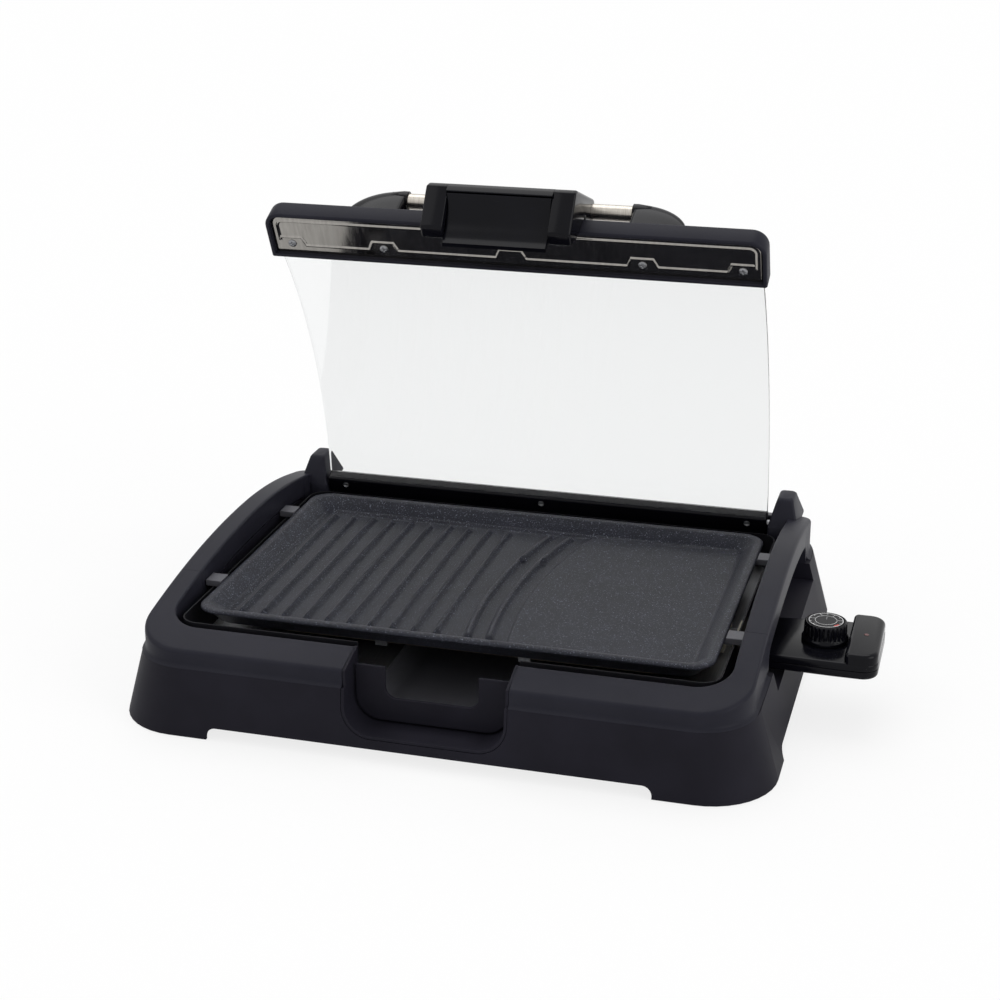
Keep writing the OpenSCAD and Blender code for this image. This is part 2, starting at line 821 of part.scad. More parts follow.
module front_frame() {
    color("#2b2b30") on_lid() difference() {
        union() {
            difference() {
                translate([0, 0, skirt_n]) linear_extrude(frame_top - skirt_n)
                    frame_plan(0);
                translate([0, 0, skirt_n - 1]) linear_extrude(frame_low - skirt_n + 1)
                    frame_plan(frame_t);
                translate([0, -frame_reach + frame_len - 1, 0])
                    between([-frame_w / 2 + frame_t, 0, 0], [frame_w / 2 - frame_t, 5, frame_low]);
            }
            for (x = strip_screw_x) translate([x, -strip_screw_reach, strip_n1])
                cylinder(h = frame_low - strip_n1 + eps, r = 4.5);
        }
        for (x = strip_screw_x) translate([x, -strip_screw_reach, strip_n1 - 1])
            cylinder(h = 9, r = screw_r);
        for (s = [-1, 1]) translate([s * (arm_gap / 2 + 22), -handle_reach, frame_low - 1])
            cylinder(h = 9, r = bolt_r);
    }
}

module inner_strip() {
    color("#98958f") on_lid() difference() {
        translate([0, 0, strip_n0]) linear_extrude(strip_n1 - strip_n0)
            frame_plan(frame_t + 0.1);
        for (x = strip_screw_x) translate([x, -strip_screw_reach, 0])
            cylinder(h = 20, r = screw_r + run_gap);
    }
}

module strip_screws() {
    color("#8a8a8c") on_lid() for (x = strip_screw_x)
        translate([x, -strip_screw_reach, 0]) {
            translate([0, 0, strip_n0 - 2]) cylinder(h = 2, r = 3.4);
            translate([0, 0, strip_n0 - eps]) cylinder(h = 10, r = screw_r);
        }
}

bolt_r = 2;
arm_high = handle_n + handle_d / 2 + 2 - frame_top;
arm_t = 17;
socket_in = 13;
// Fin-shaped arm on the +X side, its outline a quarter of an ellipse
module handle_arm() {
    x0 = arm_gap / 2;
    difference() {
        union() {
            translate([0, -handle_reach + arm_t / 2, 0]) rotate([90, 0, 0])
                linear_extrude(arm_t) polygon(concat([[x0, frame_top]],
                    [for (a = [0:6:90]) [x0 + arm_len * cos(a),
                        frame_top + arm_high * sin(a)]]));
            translate([x0, -handle_reach, handle_n]) rotate([0, 90, 0])
                cylinder(h = socket_in + 4, r = handle_d / 2 + 2);
        }
        translate([x0 - 1, -handle_reach, handle_n]) rotate([0, 90, 0])
            cylinder(h = socket_in + 1, d = handle_d + 0.1);
        translate([arm_gap / 2 + 22, -handle_reach, frame_top - 1])
            cylinder(h = 9, r = bolt_r);
    }
}

module left_handle_arm() {
    color("#25252b") on_lid() mirror([1, 0, 0]) handle_arm();
}

module right_handle_arm() {
    color("#25252b") on_lid() handle_arm();
}

module handle_tube() {
    color("#b8b4ae") on_lid()
        translate([0, -handle_reach, handle_n]) rotate([0, 90, 0]) difference() {
            cylinder(h = arm_gap + 2 * socket_in - 2, d = handle_d, center = true);
            cylinder(h = arm_gap + 60, d = handle_d - 2 * handle_wall, center = true);
        }
}

module arm_bolts() {
    color("#8a8a8c") on_lid() for (s = [-1, 1])
        translate([s * (arm_gap / 2 + 22), -handle_reach, 0]) {
            translate([0, 0, frame_low - 2.5]) cylinder(h = 2.5, r = 3.8);
            translate([0, 0, frame_low - eps]) cylinder(h = frame_t + 8, r = bolt_r);
        }
}

grip_back = handle_reach - handle_d / 2 - 4;
grip_top = handle_n + handle_d / 2 + 3;
grip_front = frame_reach + 39;
scoop_c = [grip_front + 9, -40];
scoop_r = 38;
flap_t = 3;
pivot = [grip_front - 13, -4];
flap_w = grip_w - 2 * cheek;
latch_pin_r = 1.5;
module grip_section() {
    polygon([[grip_back, frame_top], [grip_back, grip_top - 5], [grip_back + 4, grip_top],
        [handle_reach + 6, grip_top], [grip_front - 2, 9], [grip_front, 3],
        [grip_front - 3, -2], [frame_reach + 20, -28], [frame_reach + 9, -28],
        [frame_reach + 1.5, -8], [frame_reach + 1.5, 3], [frame_reach, 3],
        [frame_reach, frame_top]]);
}

module handle_grip() {
    color("#1d1d23") on_lid() difference() {
        across(grip_w) grip_section();
        across(flap_w + 2) {
            translate(scoop_c) circle(scoop_r + flap_t + 8);
            translate(pivot) circle(5);
        }
        across(far) translate([handle_reach, handle_n]) circle(d = handle_d + 0.1);
        across(flap_w + 16) translate(pivot) circle(latch_pin_r);
    }
}

module latch_pin() {
    color("#9c9c9e") on_lid() across(flap_w + 15.8) translate(pivot) circle(latch_pin_r);
}

spring_w = 12;
module latch_spring() {
    color("#a5a5a6") on_lid() across(spring_w) translate(pivot) difference() {
        circle(3.2);
        circle(latch_pin_r + 0.3);
    }
}

// Concave finger flap between the cheeks, with its two pivot barrels
module latch_flap() {
    color("#15151a") on_lid() difference() {
        union() {
            across(flap_w - 0.6) intersection() {
                translate(scoop_c) difference() {
                    circle(scoop_r + flap_t, $fn = 96);
                    circle(scoop_r, $fn = 96);
                }
                translate(scoop_c) polygon([[0, 0], 80 * [cos(106), sin(106)],
                    80 * [cos(140), sin(140)], 80 * [cos(174), sin(174)]]);
            }
            across(flap_w - 0.6) difference() {
                translate(pivot) circle(3.6);
                translate(scoop_c) circle(scoop_r + 1, $fn = 96);
            }
        }
        across(flap_w + 16) translate(pivot) circle(latch_pin_r + run_gap);
        across(spring_w + 1) difference() {
            translate(pivot) circle(4.4);
            translate(scoop_c) circle(scoop_r + 0.6, $fn = 96);
        }
    }
}

rail_w = 2 * ear_x0 - 3;
rail_back = -9;
rail_front = 12;
rail_low = -7;
module rear_rail() {
    color("#121216") on_lid() difference() {
        across(rail_w) difference() {
            union() {
                translate([rail_back, rail_low + 3])
                    square([rail_front - rail_back, 7]);
                translate([rail_back + 3, rail_low])
                    square([rail_front - rail_back - 6, 3 + eps]);
                for (x = [rail_back + 3, rail_front - 3])
                    translate([x, rail_low + 3]) circle(3);
                translate([rail_back, 0]) square([g0[0] - rail_back - 0.3, 4.2]);
            }
            translate(g_mid) difference() {
                circle(g_r + 30, $fn = arc_fn);
                circle(g_r - glass_t / 2 - 0.05, $fn = arc_fn);
                translate([-far - g_mid[0] + g0[0] - 0.3, 0]) square([far, far]);
            }
        }
        for (s = [0, 1]) mirror([s, 0, 0])
            translate([ear_x0 - pin_in - 1, 0, 0]) rotate([0, 90, 0])
                cylinder(h = 40, d = hinge_pin_d + 2 * run_gap);
        for (x = rail_screw_x) translate([x, rail_screw_y, rail_low - 1])
            cylinder(h = 20, r = 1.25 + run_gap);
    }
}

rail_screw_x = [-193, 0, 193];
rail_screw_y = 5;
clamp_n = 8;
module glass_clamp() {
    color("#1c1c20") on_lid() difference() {
        across(rail_w) difference() {
            translate([rail_back + 2, 4.2]) square([rail_front - rail_back, clamp_n - 4.2]);
            translate(g_mid) circle(g_r + glass_t / 2 + 0.05, $fn = arc_fn);
        }
        for (x = rail_screw_x) translate([x, rail_screw_y, 0])
            cylinder(h = 7, r = 1.25);
    }
}

module rail_screws() {
    color("#8a8a8c") on_lid() for (x = rail_screw_x) translate([x, rail_screw_y, 0]) {
        translate([0, 0, rail_low - 1.6]) cylinder(h = 1.6, r = 2.8);
        translate([0, 0, rail_low - eps]) cylinder(h = 13, r = 1.25);
    }
}

case_x0 = hand_x0 + wall + 1;
block_x = probe_reach - block_len;
module case_plan(t) {
    r = 13 - t;
    x0 = block_x - 6 + t;
    x1 = probe_reach - t;
    y0 = probe_y - case_w / 2 + t;
    y1 = probe_y + case_w / 2 - t;
    translate([x0, y0 + r]) square([x1 - x0, y1 - y0 - r]);
    translate([x0, y0]) square([x1 - x0 - r, r + 1]);
    translate([x1 - r, y0 + r]) circle(r);
    translate([case_x0 + t, probe_y - case_w / 2 + t + 2])
        square([x0 - case_x0 + 2, case_w - 2 * t - 8]);
}

split_z = case_z + 7;
module probe_case() {
    color("#141418") translate([home_x, 0, 0]) difference() {
        translate([0, 0, case_z]) linear_extrude(split_z - case_z) case_plan(0);
        translate([0, 0, case_z + shell_t]) linear_extrude(split_z) case_plan(shell_t);
        nose_cut();
        translate([probe_reach - 12, probe_y + case_w / 2 - 5, split_z]) rotate([-90, 0, 0])
            cylinder(h = 10, r = gland_r + 0.05);
    }
}

// Way for the contact block through the inner end of the case
module nose_cut() {
    between([case_x0 - 1, probe_y - port_w / 2 + 2, case_z + shell_t],
        [case_x0 + 3, probe_y + port_w / 2 - 2, deck_z]);
}

module probe_cover() {
    color("#18181c") translate([home_x, 0, 0]) difference() {
        union() {
            translate([0, 0, split_z]) linear_extrude(deck_z + 2 - split_z) case_plan(0);
            intersection() {
                translate([0, 0, split_z]) linear_extrude(block_z - split_z) case_plan(0);
                between([block_x, -far, 0], [far, far, far]);
            }
        }
        translate([0, 0, split_z - 1]) linear_extrude(deck_z - split_z + 1) case_plan(2);
        intersection() {
            translate([0, 0, split_z - 1]) linear_extrude(block_z - split_z - 1) case_plan(2);
            between([block_x + 2, -far, 0], [far, far, far]);
        }
        translate([knob_x, probe_y, 0]) {
            cylinder(h = 90, r = shaft_r + 0.6);
            translate([0, 0, deck_z + 1]) cylinder(h = 20, r = knob_d / 2 + 0.6);
        }
        nose_cut();
        translate([probe_reach - 12, probe_y + case_w / 2 - 5, split_z]) rotate([-90, 0, 0])
            cylinder(h = 10, r = gland_r + 0.05);
        translate([probe_reach - 13, probe_y, block_z - 4]) cylinder(h = 9, r = lens_r);
    }
}

shaft_r = 3;
gland_r = 4;
lens_r = 2;
nose_x0 = 214;
socket_t = 0.9;
module socket_block() {
    color("#2a2622") translate([home_x, 0, 0]) difference() {
        between([nose_x0, probe_y - port_w / 2 + 2.2, case_z + shell_t + 0.2],
            [case_x0 + 14, probe_y + port_w / 2 - 2.2, deck_z - 0.2]);
        for (s = [-1, 1]) translate([nose_x0 - 1, probe_y + s * lead_y, probe_z])
            rotate([0, 90, 0]) cylinder(h = 27.5, r = contact_d / 2 + socket_t);
        translate([nose_x0 - 1, probe_y, probe_z]) rotate([0, 90, 0])
            cylinder(h = 60, d = rod_d);
    }
}

module probe_sockets() {
    color("#b58f45") translate([home_x, 0, 0]) for (s = [-1, 1])
        translate([nose_x0 + 0.5, probe_y + s * lead_y, probe_z]) rotate([0, 90, 0])
            difference() {
                cylinder(h = 26, r = contact_d / 2 + socket_t);
                translate([0, 0, -1]) cylinder(h = 18, r = contact_d / 2 + run_gap);
            }
}

rod_tip = 126;
module probe_rod() {
    color("#b4b4b6") translate([home_x, 0, 0]) translate([rod_tip, probe_y, probe_z])
        rotate([0, 90, 0]) {
            cylinder(h = case_x0 + 14 - rod_tip, d = rod_d);
            sphere(d = rod_d);
        }
}

switch_x0 = case_x0 + 14;
module thermostat_switch() {
    color("#c9c2b2") translate([home_x, 0, 0]) difference() {
        between([switch_x0, probe_y - 14, case_z + 2], [block_x + 6, probe_y + 14, deck_z]);
        translate([knob_x, probe_y, deck_z - 5]) cylinder(h = 20, r = shaft_r + run_gap);
    }
}

case_screws = [[case_x0 + 18, -26], [case_x0 + 18, 22], [probe_reach - 8, -16]];
module probe_screws() {
    color("#8a8a8c") translate([home_x, 0, 0]) for (p = case_screws)
        translate([p[0], probe_y + p[1], case_z + 2]) {
            cylinder(h = 1.4, r = 2.6);
            cylinder(h = 6, r = 1.2);
        }
}

module indicator_lens() {
    color("#c8321e") translate([home_x, 0, 0])
        translate([probe_reach - 13, probe_y, block_z - 3]) cylinder(h = 3.4, r = lens_r);
}

module cord_gland() {
    color("#101012") translate([home_x, 0, 0])
        translate([probe_reach - 12, probe_y + case_w / 2 - 4, split_z]) rotate([-90, 0, 0])
            difference() {
                union() {
                    cylinder(h = 8, r = gland_r);
                    cylinder(h = 1.8, r = gland_r + 1);
                    translate([0, 0, 4.4]) cylinder(h = 2, r = gland_r + 1);
                    translate([0, 0, 8 - eps]) cylinder(h = 14, r1 = gland_r, r2 = 3.2);
                }
                translate([0, 0, -1]) cylinder(h = 40, r = 2.4);
            }
}

knob_z0 = deck_z + 1.4;
knob_top = knob_z0 + knob_h;
grip_ribs = 24;
module control_knob() {
    color("#17171b") translate([home_x, 0, 0]) translate([knob_x, probe_y, 0]) difference() {
        union() {
            translate([0, 0, knob_z0]) cylinder(h = knob_h * 0.55, r = knob_d / 2);
            translate([0, 0, knob_z0]) cylinder(h = knob_h, r = knob_d / 2 - 1.5);
        }
        translate([0, 0, knob_top - 1]) cylinder(h = 5, r = knob_d / 2 - 4);
        translate([0, 0, knob_z0 - 1]) cylinder(h = knob_h - 3, r = shaft_r);
    }
}

module knob_dial() {
    color("#1f1f22") translate([home_x, 0, 0]) translate([knob_x, probe_y, knob_top - 1])
        cylinder(h = 1.2, r = knob_d / 2 - 4.1);
}

module knob_shaft() {
    color("#b58f45") translate([home_x, 0, 0]) translate([knob_x, probe_y, deck_z - 4.8])
        cylinder(h = knob_z0 - deck_z + knob_h, r = shaft_r);
}

base_housing();
front_rim();
left_handle_arch();
right_handle_arch();
rear_cover();
front_recess();
left_hinge_ear();
right_hinge_ear();
hinge_pins();
inner_liner();
heat_shield();
plate_rests();
tray_runners();
foot_pads();
liner_screws();
grill_plate();
heating_element();
element_clips();
terminal_block();
contact_pins();
drip_pan();
tray_front();
lid_glass();
glass_seal();
front_frame();
inner_strip();
strip_screws();
left_handle_arm();
right_handle_arm();
handle_tube();
arm_bolts();
handle_grip();
latch_pin();
latch_spring();
rear_rail();
glass_clamp();
rail_screws();
latch_flap();
probe_case();
probe_cover();
probe_rod();
socket_block();
probe_sockets();
thermostat_switch();
probe_screws();
indicator_lens();
cord_gland();
control_knob();
knob_dial();
knob_shaft();
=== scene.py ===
"""Looks of the countertop grill: moulded base, non-stick plate, glass lid and plug-in control.
Lengths are written in millimetres and turned to metres where a mesh is made."""
import json
import math

import bmesh
import bpy
import numpy as np
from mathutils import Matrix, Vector


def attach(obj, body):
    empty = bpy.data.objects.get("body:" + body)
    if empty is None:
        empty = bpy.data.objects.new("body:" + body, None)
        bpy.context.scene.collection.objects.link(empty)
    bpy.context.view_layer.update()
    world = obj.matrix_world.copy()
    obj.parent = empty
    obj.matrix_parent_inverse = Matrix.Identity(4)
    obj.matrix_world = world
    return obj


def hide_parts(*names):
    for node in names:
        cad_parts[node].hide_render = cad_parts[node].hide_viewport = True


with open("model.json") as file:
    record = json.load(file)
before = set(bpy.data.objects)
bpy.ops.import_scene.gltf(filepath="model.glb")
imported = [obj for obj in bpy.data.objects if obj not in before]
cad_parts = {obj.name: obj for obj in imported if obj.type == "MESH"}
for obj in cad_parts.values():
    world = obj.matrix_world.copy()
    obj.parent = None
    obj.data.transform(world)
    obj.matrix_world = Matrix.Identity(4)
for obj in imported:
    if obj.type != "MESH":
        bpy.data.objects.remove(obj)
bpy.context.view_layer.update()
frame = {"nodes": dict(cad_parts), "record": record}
cad = frame["nodes"]
HOME_X = -31.5


# shapes as arrays

def sheet(points, close_u=False, close_v=False):
    """Quads over a grid of points (rows, columns, xyz), rows and columns joined round where asked."""
    rows, cols = points.shape[:2]
    i = np.arange(rows if close_u else rows - 1)[:, None]
    j = np.arange(cols if close_v else cols - 1)[None, :]
    a = i * cols + j
    b = i * cols + (j + 1) % cols
    c = (i + 1) % rows * cols + (j + 1) % cols
    d = (i + 1) % rows * cols + j
    return points.reshape(-1, 3), np.stack([a, b, c, d], -1).reshape(-1, 4).tolist()


def stack(rings, low=True, high=True):
    """A skin over closed outlines laid one over the other, with flat caps on the ends that are asked for."""
    rings = np.asarray(rings, float)
    points, faces = sheet(rings, close_v=True)
    n = rings.shape[1]
    if low:
        faces.append(list(range(n))[::-1])
    if high:
        faces.append(list(range((len(rings) - 1) * n, len(rings) * n)))
    return points, faces


def joined(*parts):
    """Several (points, faces) pairs as one."""
    points, faces, start = [], [], 0
    for p, f in parts:
        points.append(p)
        faces += [[v + start for v in face] for face in f]
        start += len(p)
    return np.concatenate(points), faces


def rounded(corners, radii, steps=6):
    """A closed polygon with each corner replaced by an arc of its own radius, tangent to both sides."""
    corners = np.asarray(corners, float)
    radii = np.broadcast_to(radii, len(corners))
    out = []
    for k, b in enumerate(corners):
        u = corners[k - 1] - b
        v = corners[(k + 1) % len(corners)] - b
        u, lu, v, lv = u / np.linalg.norm(u), np.linalg.norm(u), v / np.linalg.norm(v), np.linalg.norm(v)
        half = math.acos(np.clip(u @ v, -1, 1)) / 2
        r = min(radii[k], 0.48 * min(lu, lv) * math.tan(half))
        if r < 0.01:
            out.append(b[None])
            continue
        mid = b + (u + v) / np.linalg.norm(u + v) * r / math.sin(half)
        p, q = b + u * r / math.tan(half) - mid, b + v * r / math.tan(half) - mid
        turn = math.atan2(p[0] * q[1] - p[1] * q[0], p @ q)
        t = np.linspace(0, turn, steps)
        out.append(mid + np.stack([p[0] * np.cos(t) - p[1] * np.sin(t),
                                   p[0] * np.sin(t) + p[1] * np.cos(t)], -1))
    return np.concatenate(out)


def inset(outline, by):
    """A counter-clockwise outline moved inwards by a distance, along the mean normal of its sides."""
    ahead = np.roll(outline, -1, 0) - outline
    ahead = ahead / np.maximum(np.linalg.norm(ahead, axis=1, keepdims=True), 1e-9)
    mean = ahead + np.roll(ahead, 1, 0)
    mean = mean / np.maximum(np.linalg.norm(mean, axis=1, keepdims=True), 1e-9)
    stretch = 1 / np.clip(np.abs((mean * ahead).sum(1)), 0.5, 1)
    normal = np.stack([-mean[:, 1], mean[:, 0]], -1)
    return outline + normal * (by * stretch)[:, None]


def pillow(outline, lo, hi, r_lo, r_hi, steps=5):
    """Rings of a slab between two heights. Its edges are quarter rounds: inset r(1-cos a), height r sin a."""
    rings = []
    a = np.linspace(90, 0, steps) if r_lo > 0 else [0]
    for t in np.radians(a):
        rings.append((inset(outline, r_lo * (1 - math.cos(t))), lo + r_lo * (1 - math.sin(t))))
    a = np.linspace(0, 90, steps) if r_hi > 0 else [0]
    for t in np.radians(a):
        rings.append((inset(outline, r_hi * (1 - math.cos(t))), hi - r_hi * (1 - math.sin(t))))
    return rings


def upright(rings):
    """Rings given as (xy outline, z)."""
    return [np.column_stack([xy, np.full(len(xy), z)]) for xy, z in rings]


def sideways(rings):
    """Rings given as (reach and height outline, x) of a lid section that is drawn out along X."""
    return [np.column_stack([np.full(len(rn), x), -rn[:, 0], rn[:, 1]]) for rn, x in rings]


def box_plan(w, d, r, cx=0.0, cy=0.0, steps=12):
    """Counter-clockwise outline of a rectangle with round corners."""
    x, y = w / 2, d / 2
    return rounded([[x, -y], [x, y], [-x, y], [-x, -y]], r, steps) + [cx, cy]


def turned(profile, centre, steps=64, ribs=None):
    """A profile of (radius, height) turned round a vertical axis. ribs, where given, lowers the radius."""
    profile = np.asarray(profile, float)
    t = np.linspace(0, 2 * np.pi, steps, endpoint=False)
    r = profile[:, None, 0] * np.ones(steps)
    if ribs is not None:
        r = r - ribs(profile, t)
    rings = np.stack([centre[0] + r * np.cos(t), centre[1] + r * np.sin(t),
                      centre[2] + profile[:, None, 1] * np.ones(steps)], -1)
    return stack(rings)


def along_x(profile, x_sign, centre, steps=40):
    """A profile of (x, radius) turned round an axis along X, whose centre is given as reach and height."""
    profile = np.asarray(profile, float)
    t = np.linspace(0, 2 * np.pi, steps, endpoint=False) * x_sign
    c, s = np.cos(t), np.sin(t)
    rings = [np.column_stack([np.full(steps, x * x_sign), -centre[0] + r * c, centre[1] + r * s])
             for x, r in profile]
    return stack(rings)


LID_OPEN = math.radians(65)
HINGE = np.array([0, 160, 84.0])


def raised(points):
    """Lid points (x, -reach, height) turned about the hinge from closed to the shown half-open pose."""
    c, s = math.cos(LID_OPEN), math.sin(LID_OPEN)
    x, y, z = points[:, 0], points[:, 1], points[:, 2]
    return np.column_stack([x, y * c + z * s, z * c - y * s]) + HINGE


def piece(name, shape, body, material, stands_for=(), lid=False, sharp=40, bevel=0, recalc=True):
    """One finished object: points in millimetres become a mesh at the origin, smooth up to a sharp angle."""
    points, faces = shape
    if lid:
        points = raised(points)
    mesh = bpy.data.meshes.new(name)
    mesh.from_pydata(((points + [HOME_X, 0, 0]) * 0.001).tolist(), [], faces)
    b = bmesh.new()
    b.from_mesh(mesh)
    bmesh.ops.remove_doubles(b, verts=b.verts, dist=2e-6)
    if recalc:
        bmesh.ops.recalc_face_normals(b, faces=b.faces)
    b.to_mesh(mesh)
    b.free()
    return dress(name, mesh, body, material, stands_for, sharp, bevel)


def dress(name, mesh, body, material, stands_for, sharp, bevel):
    """Shading, edge rounding, finish and body of a new object."""
    mesh.shade_smooth()
    mesh.set_sharp_from_angle(angle=math.radians(sharp))
    obj = bpy.data.objects.new(name, mesh)
    bpy.context.scene.collection.objects.link(obj)
    if bevel:
        edge = obj.modifiers.new("edge", "BEVEL")
        edge.width = bevel * 0.001
        edge.segments = 2
        edge.limit_method = "ANGLE"
        edge.angle_limit = math.radians(35)
        edge.harden_normals = False
        edge.miter_outer = "MITER_ARC"
    mesh.materials.append(material)
    for n in stands_for:
        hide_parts(n)
    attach(obj, body)
    return obj


BODY_OF = {n: b for b, ns in frame["record"]["behaviour"]["bodies"].items() for n in ns}


def refined(node, material, bevel=0.6, sharp=32):
    """The solid's own mesh, joined up, its flat faces merged and its edges rounded."""
    mesh = cad[node].data.copy()
    mesh.name = node + "_shell"
    mesh.materials.clear()
    b = bmesh.new()
    b.from_mesh(mesh)
    bmesh.ops.remove_doubles(b, verts=b.verts, dist=2e-6)
    bmesh.ops.dissolve_limit(b, angle_limit=math.radians(0.4), verts=b.verts, edges=b.edges)
    b.to_mesh(mesh)
    b.free()
    return dress(node + "_shell", mesh, BODY_OF[node], material, [node], sharp, bevel)


# finishes

def linear(hex_colour, alpha=1.0):
    """An sRGB hex colour as the linear numbers that a shader reads."""
    c = np.array([int(hex_colour[k:k + 2], 16) for k in (1, 3, 5)]) / 255
    c = np.where(c <= 0.04045, c / 12.92, ((c + 0.055) / 1.055) ** 2.4)
    return (*map(float, c), alpha)


def add(tree, kind, inputs=None, **settings):
    """Adds a node, sets its settings, then fills or links its inputs."""
    n = tree.nodes.new(kind)
    for key, value in settings.items():
        setattr(n, key, value)
    for key, value in (inputs or {}).items():
        socket = n.inputs[key]
        if isinstance(value, bpy.types.NodeSocket):
            tree.links.new(value, socket)
        else:
            socket.default_value = value
    return n


def finish(name, **constants):
    """A material with its main shader, whose plain values are set on the shader's own sockets."""
    m = bpy.data.materials.new(name)
    m.use_nodes = True
    m.node_tree.nodes.clear()
    shader = add(m.node_tree, "ShaderNodeBsdfPrincipled", constants)
    out = add(m.node_tree, "ShaderNodeOutputMaterial")
    m.node_tree.links.new(shader.outputs[0], out.inputs[0])
    where = add(m.node_tree, "ShaderNodeTexCoord").outputs["Object"]
    return m, m.node_tree, shader, where


def ramp(tree, value, stops):
    """A colour ramp with stops (place, linear colour)."""
    r = add(tree, "ShaderNodeValToRGB", {"Fac": value})
    e = r.color_ramp.elements
    while len(e) < len(stops):
        e.new(0.5)
    for k, (place, colour) in enumerate(stops):
        e[k].position, e[k].color = place, colour
    return r.outputs[0]


def moulded(name, colour, shade, rough, grain, depth, level=0.5):
    """A moulded plastic: a slow drift between two near colours, and a relief of grain that size in mm."""
    m, t, s, where = finish(name, **{"Specular IOR Level": level})
    drift = add(t, "ShaderNodeTexNoise", {"Vector": where, "Scale": 18.0, "Detail": 3.0}).outputs[0]
    t.links.new(ramp(t, drift, [(0.35, linear(colour)), (0.7, linear(shade))]), s.inputs["Base Color"])
    gloss = add(t, "ShaderNodeMapRange", {"Value": drift, "To Min": rough - 0.04, "To Max": rough + 0.05})
    t.links.new(gloss.outputs[0], s.inputs["Roughness"])
    fine = add(t, "ShaderNodeTexNoise", {"Vector": where, "Scale": 1000 / grain, "Detail": 2.0}).outputs[0]
    bump = add(t, "ShaderNodeBump", {"Height": fine, "Strength": 0.5, "Distance": depth * 0.001})
    t.links.new(bump.outputs[0], s.inputs["Normal"])
    return m


def brushed(name, colour, rough, stretch, metallic=1.0):
    """A drawn or brushed metal: fine streaks, far longer one way than the other, in roughness and relief."""
    m, t, s, where = finish(name, Metallic=metallic)
    lay = add(t, "ShaderNodeMapping", {"Vector": where, "Scale": stretch}).outputs[0]
    lines = add(t, "ShaderNodeTexNoise", {"Vector": lay, "Scale": 1.0, "Detail": 4.0}).outputs[0]
    tone = ramp(t, lines, [(0.3, linear(colour[0])), (0.7, linear(colour[1]))])
    t.links.new(tone, s.inputs["Base Color"])
    gloss = add(t, "ShaderNodeMapRange", {"Value": lines, "To Min": rough - 0.08, "To Max": rough + 0.1})
    t.links.new(gloss.outputs[0], s.inputs["Roughness"])
    bump = add(t, "ShaderNodeBump", {"Height": lines, "Strength": 0.25, "Distance": 0.00004})
    t.links.new(bump.outputs[0], s.inputs["Normal"])
    return m


# Acrylonitrile styrene moulded in a spark-eroded tool: near black, an even sheen and a fine grain.
BODY_ABS = moulded("abs_grained_black", "#1b1a21", "#201f27", 0.5, 0.7, 0.05, 0.07)
# The same plastic in a finer tool: the rim and lid frame look a shade lighter and smoother.
RIM_ABS = moulded("abs_satin_black", "#212129", "#26262e", 0.42, 0.5, 0.025, 0.08)
# Phenolic resin pressed in a polished tool: deep black with sharp highlights and a faint orange peel.
GLOSS = moulded("phenolic_polished_black", "#09090e", "#0d0d13", 0.14, 6.0, 0.02, 0.12)
# Grey grained plastic of the drip pan.
PAN_ABS = moulded("abs_grained_grey", "#505055", "#5a5a60", 0.45, 0.7, 0.05, 0.3)
# Rubber: dark and dull.
RUBBER = moulded("rubber_moulded", "#131315", "#19191b", 0.75, 0.9, 0.06, 0.3)
# Steatite, an unglazed off-white ceramic of terminal blocks.
STEATITE = moulded("steatite_pressed", "#cfc8b6", "#dad4c5", 0.6, 0.5, 0.03)
# Red polycarbonate of the pilot lamp.
LENS = moulded("polycarbonate_red", "#54201f", "#5f2625", 0.15, 3.0, 0.01)
# Heat-proof black lacquer on steel sheet.
LACQUER = moulded("lacquered_sheet", "#0e0e12", "#141418", 0.6, 0.9, 0.02, 0.12)
# Stainless tube, brushed round and round: streaks run round the tube, so they are long in Y and Z.
TUBE_STEEL = brushed("stainless_brushed", ("#9c968d", "#c3beb6"), 0.3, (2600.0, 90.0, 90.0))
# Zinc-plated screws and pins.
ZINC = brushed("steel_zinc_plated", ("#828386", "#9b9c9f"), 0.34, (500.0, 500.0, 500.0))
# Nickel alloy sheath of the heating tube, browned by heat.
SHEATH = brushed("nickel_alloy_sheath", ("#5b534b", "#776c61"), 0.45, (300.0, 300.0, 300.0))
# Rolled aluminium sheet of the heat shield.
ROLLED = brushed("aluminium_rolled", ("#9b9c9f", "#b1b2b4"), 0.36, (1500.0, 40.0, 300.0))
# Stainless sheet polished to a mirror, the reflector strip under the lid's frame.
MIRROR = brushed("stainless_polished", ("#8f8c88", "#a09d98"), 0.09, (400.0, 60.0, 60.0))
BRASS = brushed("brass_turned", ("#a27d3a", "#bf9a50"), 0.28, (900.0, 200.0, 200.0))


# Width of a fleck of the coat in mm
FLECK = 1.0


